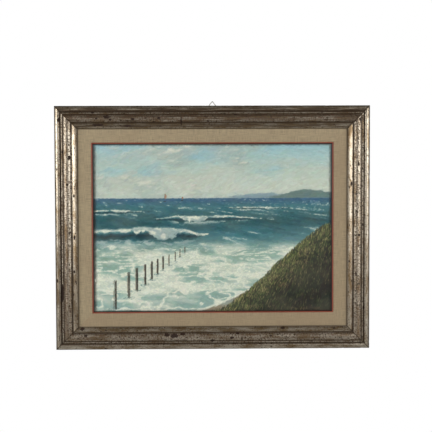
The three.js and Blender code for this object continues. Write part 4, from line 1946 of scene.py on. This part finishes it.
def make_nail():
    """Driven up into the slip's back, then bent over the bar: spun through a quarter turn."""
    start_alone()
    bpy.ops.mesh.primitive_cylinder_add(
        vertices=10, radius=NAIL, depth=NAIL_SHANK, rotation=(math.radians(90), 0, 0)
    )
    nail = bpy.context.object
    apply_place(location=False)
    level = CANVAS_BACK - NAIL - 0.1 + NAIL_BEND
    put_positions(nail, positions(nail) - (0, NAIL_SHANK / 2 + level, 0))
    with editing("DESELECT"):
        bpy.ops.mesh.select_mode(type="FACE")
    for face in nail.data.polygons:
        face.select = face.normal.y > 0.9
    centre = (0, -level, -NAIL_BEND)
    with editing():
        bpy.ops.mesh.spin(steps=5, angle=-math.pi / 2, center=centre, axis=(1, 0, 0))
        bpy.ops.mesh.extrude_region_move(TRANSFORM_OT_translate={"value": (0, 0, -NAIL_END)})
        face_outwards()
    put_positions(nail, positions(nail) * MM)
    return nail


nail = make_nail()
nails = []
for side in SIDES:
    length, outward = canvas_side(side)
    length -= 2 * NAIL_CORNER
    for end in (-0.5, 0.5):
        nails.append(copy_to(nail, side, length * end + 7, outward + NAIL_OUTSIDE))
bpy.data.objects.remove(nail)
join(nails, "bent_nails")

# %% [markdown]
# ## The hanger
#
# A steel strip is folded round a bent wire ring and its two layers are pressed together and
# screwed to the top rail. The strip's outline is its middle line with half its thickness on
# either side, so that the fold stays as thick as the rest.

# %% The strap's section
ring_low, ring_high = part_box("hanger_ring")
strap_low, strap_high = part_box("hanger_strap")
WIRE = (ring_high.y - ring_low.y) / 2 / MM
EYE_Y = (ring_high.y + ring_low.y) / 2 / MM
EYE_Z = ring_low.z / MM + WIRE
LAYER = 1.0
INNER_LAYER, OUTER_LAYER = -1.53, -0.47  # the middles of the two, from the wall
STRAP_WIDTH = (strap_high.x - strap_low.x) / MM
STRAP_FOOT = strap_low.z / MM


def fold_points():
    """The strip's middle line: up the outer layer, round the wire, down the inner one."""
    path = [(OUTER_LAYER, z) for z in (STRAP_FOOT, -6, 5, 8)] + [(-0.3, 9.6), (0.6, 11.9)]
    radius = EYE_Y + 1.5 * LAYER
    for number in range(15):
        angle = -0.28 * math.pi + 1.28 * math.pi * number / 14
        path.append((EYE_Y + radius * math.cos(angle), EYE_Z + radius * math.sin(angle)))
    return path + [(INNER_LAYER, z) for z in (12.5, 8, 0, STRAP_FOOT)]


def strip_outline(path, thickness):
    """The closed outline of a strip that follows a path of (y, z) points."""
    path = np.array(path)
    way = np.gradient(path, axis=0)
    normal = np.stack((way[:, 1], -way[:, 0]), 1) / np.linalg.norm(way, axis=1)[:, None]
    return np.concatenate((path + normal * thickness / 2, (path - normal * thickness / 2)[::-1]))


STRIP = strip_outline(fold_points(), 0.94 * LAYER)
print(len(STRIP), "points round the strap's section")


# %% The strap
def make_strap():
    start_alone()
    bpy.ops.mesh.primitive_circle_add(vertices=len(STRIP), radius=1)
    strap = named("hanging_strap")
    put_positions(strap, np.insert(STRIP, 0, -STRAP_WIDTH / 2, axis=1) * MM)
    across = {"value": (STRAP_WIDTH * MM, 0, 0)}
    with editing("SELECT"):
        bpy.ops.mesh.edge_face_add()
        bpy.ops.mesh.extrude_region_move(TRANSFORM_OT_translate=across)
        face_outwards()
    edges = strap.modifiers.new("edges", "BEVEL")
    edges.width, edges.segments, edges.angle_limit = 0.22 * MM, 2, math.radians(50)
    bpy.ops.object.modifier_apply(modifier="edges")
    return strap


hanger_steel = steel_finish("hanger_steel", (0.30, 0.285, 0.255), 0.6)
strap = make_strap()
dress(strap, hanger_steel, 35, "hanger_strap")
print("strap", len(strap.data.polygons), "faces")

# %% The wire's route
CORNER_ROUND = 3  # how far from a corner its bend begins
OUTSIDE = 1.2  # how far the sharp corners lie outside the rounded ones


def wire_route():
    """A triangle with rounded corners: each bend runs between two sides' points."""
    half = (ring_high.x - ring_low.x) / 2 / MM - WIRE
    top = ring_high.z / MM - WIRE
    corners = ((-half - OUTSIDE, EYE_Z), (half + OUTSIDE, EYE_Z), (0, top + OUTSIDE))
    corners = [np.array(corner, float) for corner in corners]
    points = []
    for number, corner in enumerate(corners):
        before, after = corners[number - 1] - corner, corners[(number + 1) % 3] - corner
        arrive = corner + before / np.linalg.norm(before) * CORNER_ROUND
        leave = corner + after / np.linalg.norm(after) * CORNER_ROUND
        for share in np.linspace(0, 1, 8):
            bend = arrive * (1 - share) ** 2 + corner * 2 * share * (1 - share)
            points.append(bend + leave * share**2)
    return points


# %% The wire ring
def make_ring():
    """A curve along the route, with a round bevel as thick as the wire."""
    route = bpy.data.curves.new("hanging_ring", "CURVE")
    route.dimensions = "3D"
    route.bevel_depth, route.bevel_resolution = WIRE * MM, 5
    line = route.splines.new("POLY")
    points = wire_route()
    line.points.add(len(points) - 1)
    line.use_cyclic_u = True
    for point, (x, z) in zip(line.points, points):
        point.co = (x * MM, EYE_Y * MM, z * MM, 1)
    ring = in_scene("hanging_ring", route)
    start_alone(ring)
    bpy.ops.object.convert(target="MESH")
    return bpy.context.object


ring = make_ring()
dress(ring, steel_finish("ring_wire", (0.46, 0.43, 0.36), 0.66), 35, "hanger_ring")
print("ring", len(ring.data.polygons), "faces")


# %% The screws
HEAD, NECK = 1.8, 1  # below the head's face: where it is cut round, and where the shank begins
SHANK = 1.5  # its radius
SAW_WIDE, SAW_DEEP = 0.8, 1.4
SLANTS = {"slotted_screw_1": 0.35, "slotted_screw_2": 1.1}  # each slot as the screw was left


def saw_slot(screw, radius, face, slant):
    """Cuts the slot with a thin block, as a saw would."""
    bpy.ops.mesh.primitive_cube_add(size=1, location=(0, face, 0), rotation=(0, slant, 0))
    saw = bpy.context.object
    saw.scale = (radius * 3, SAW_DEEP, SAW_WIDE)
    apply_place(location=False)
    start_alone()
    bpy.context.view_layer.objects.active = screw
    slot = screw.modifiers.new("slot", "BOOLEAN")
    slot.object, slot.operation, slot.solver = saw, "DIFFERENCE", "EXACT"
    bpy.ops.object.modifier_apply(modifier="slot")
    bpy.data.objects.remove(saw)


def make_screw(name, node):
    """A countersunk head flush with the strap, with a sawn slot, and its shank in the rail."""
    low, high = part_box(node)
    radius, length = (high.x - low.x) / 2 / MM, (high.y - low.y) / MM
    start_alone()
    bpy.ops.mesh.primitive_cylinder_add(
        vertices=32, radius=radius, depth=length, rotation=(math.radians(-90), 0, 0)
    )
    screw = named(name)
    apply_place(location=False)
    with editing("SELECT"):
        bpy.ops.mesh.bisect(plane_co=(0, length / 2 - HEAD, 0), plane_no=(0, 1, 0))
    place = positions(screw)
    shank = place[:, 1] < length / 2 - NECK
    place[shank] *= (SHANK / radius, 1, SHANK / radius)
    put_positions(screw, place)
    saw_slot(screw, radius, length / 2, SLANTS[name])
    put_positions(screw, (positions(screw) + (low + high) / 2 / MM) * MM)
    dress(screw, hanger_steel, 35, node)


for number in (1, 2):
    make_screw(f"slotted_screw_{number}", f"hanger_screw_{number}")
print("screws with slots", SAW_WIDE, "mm wide hold the strap")
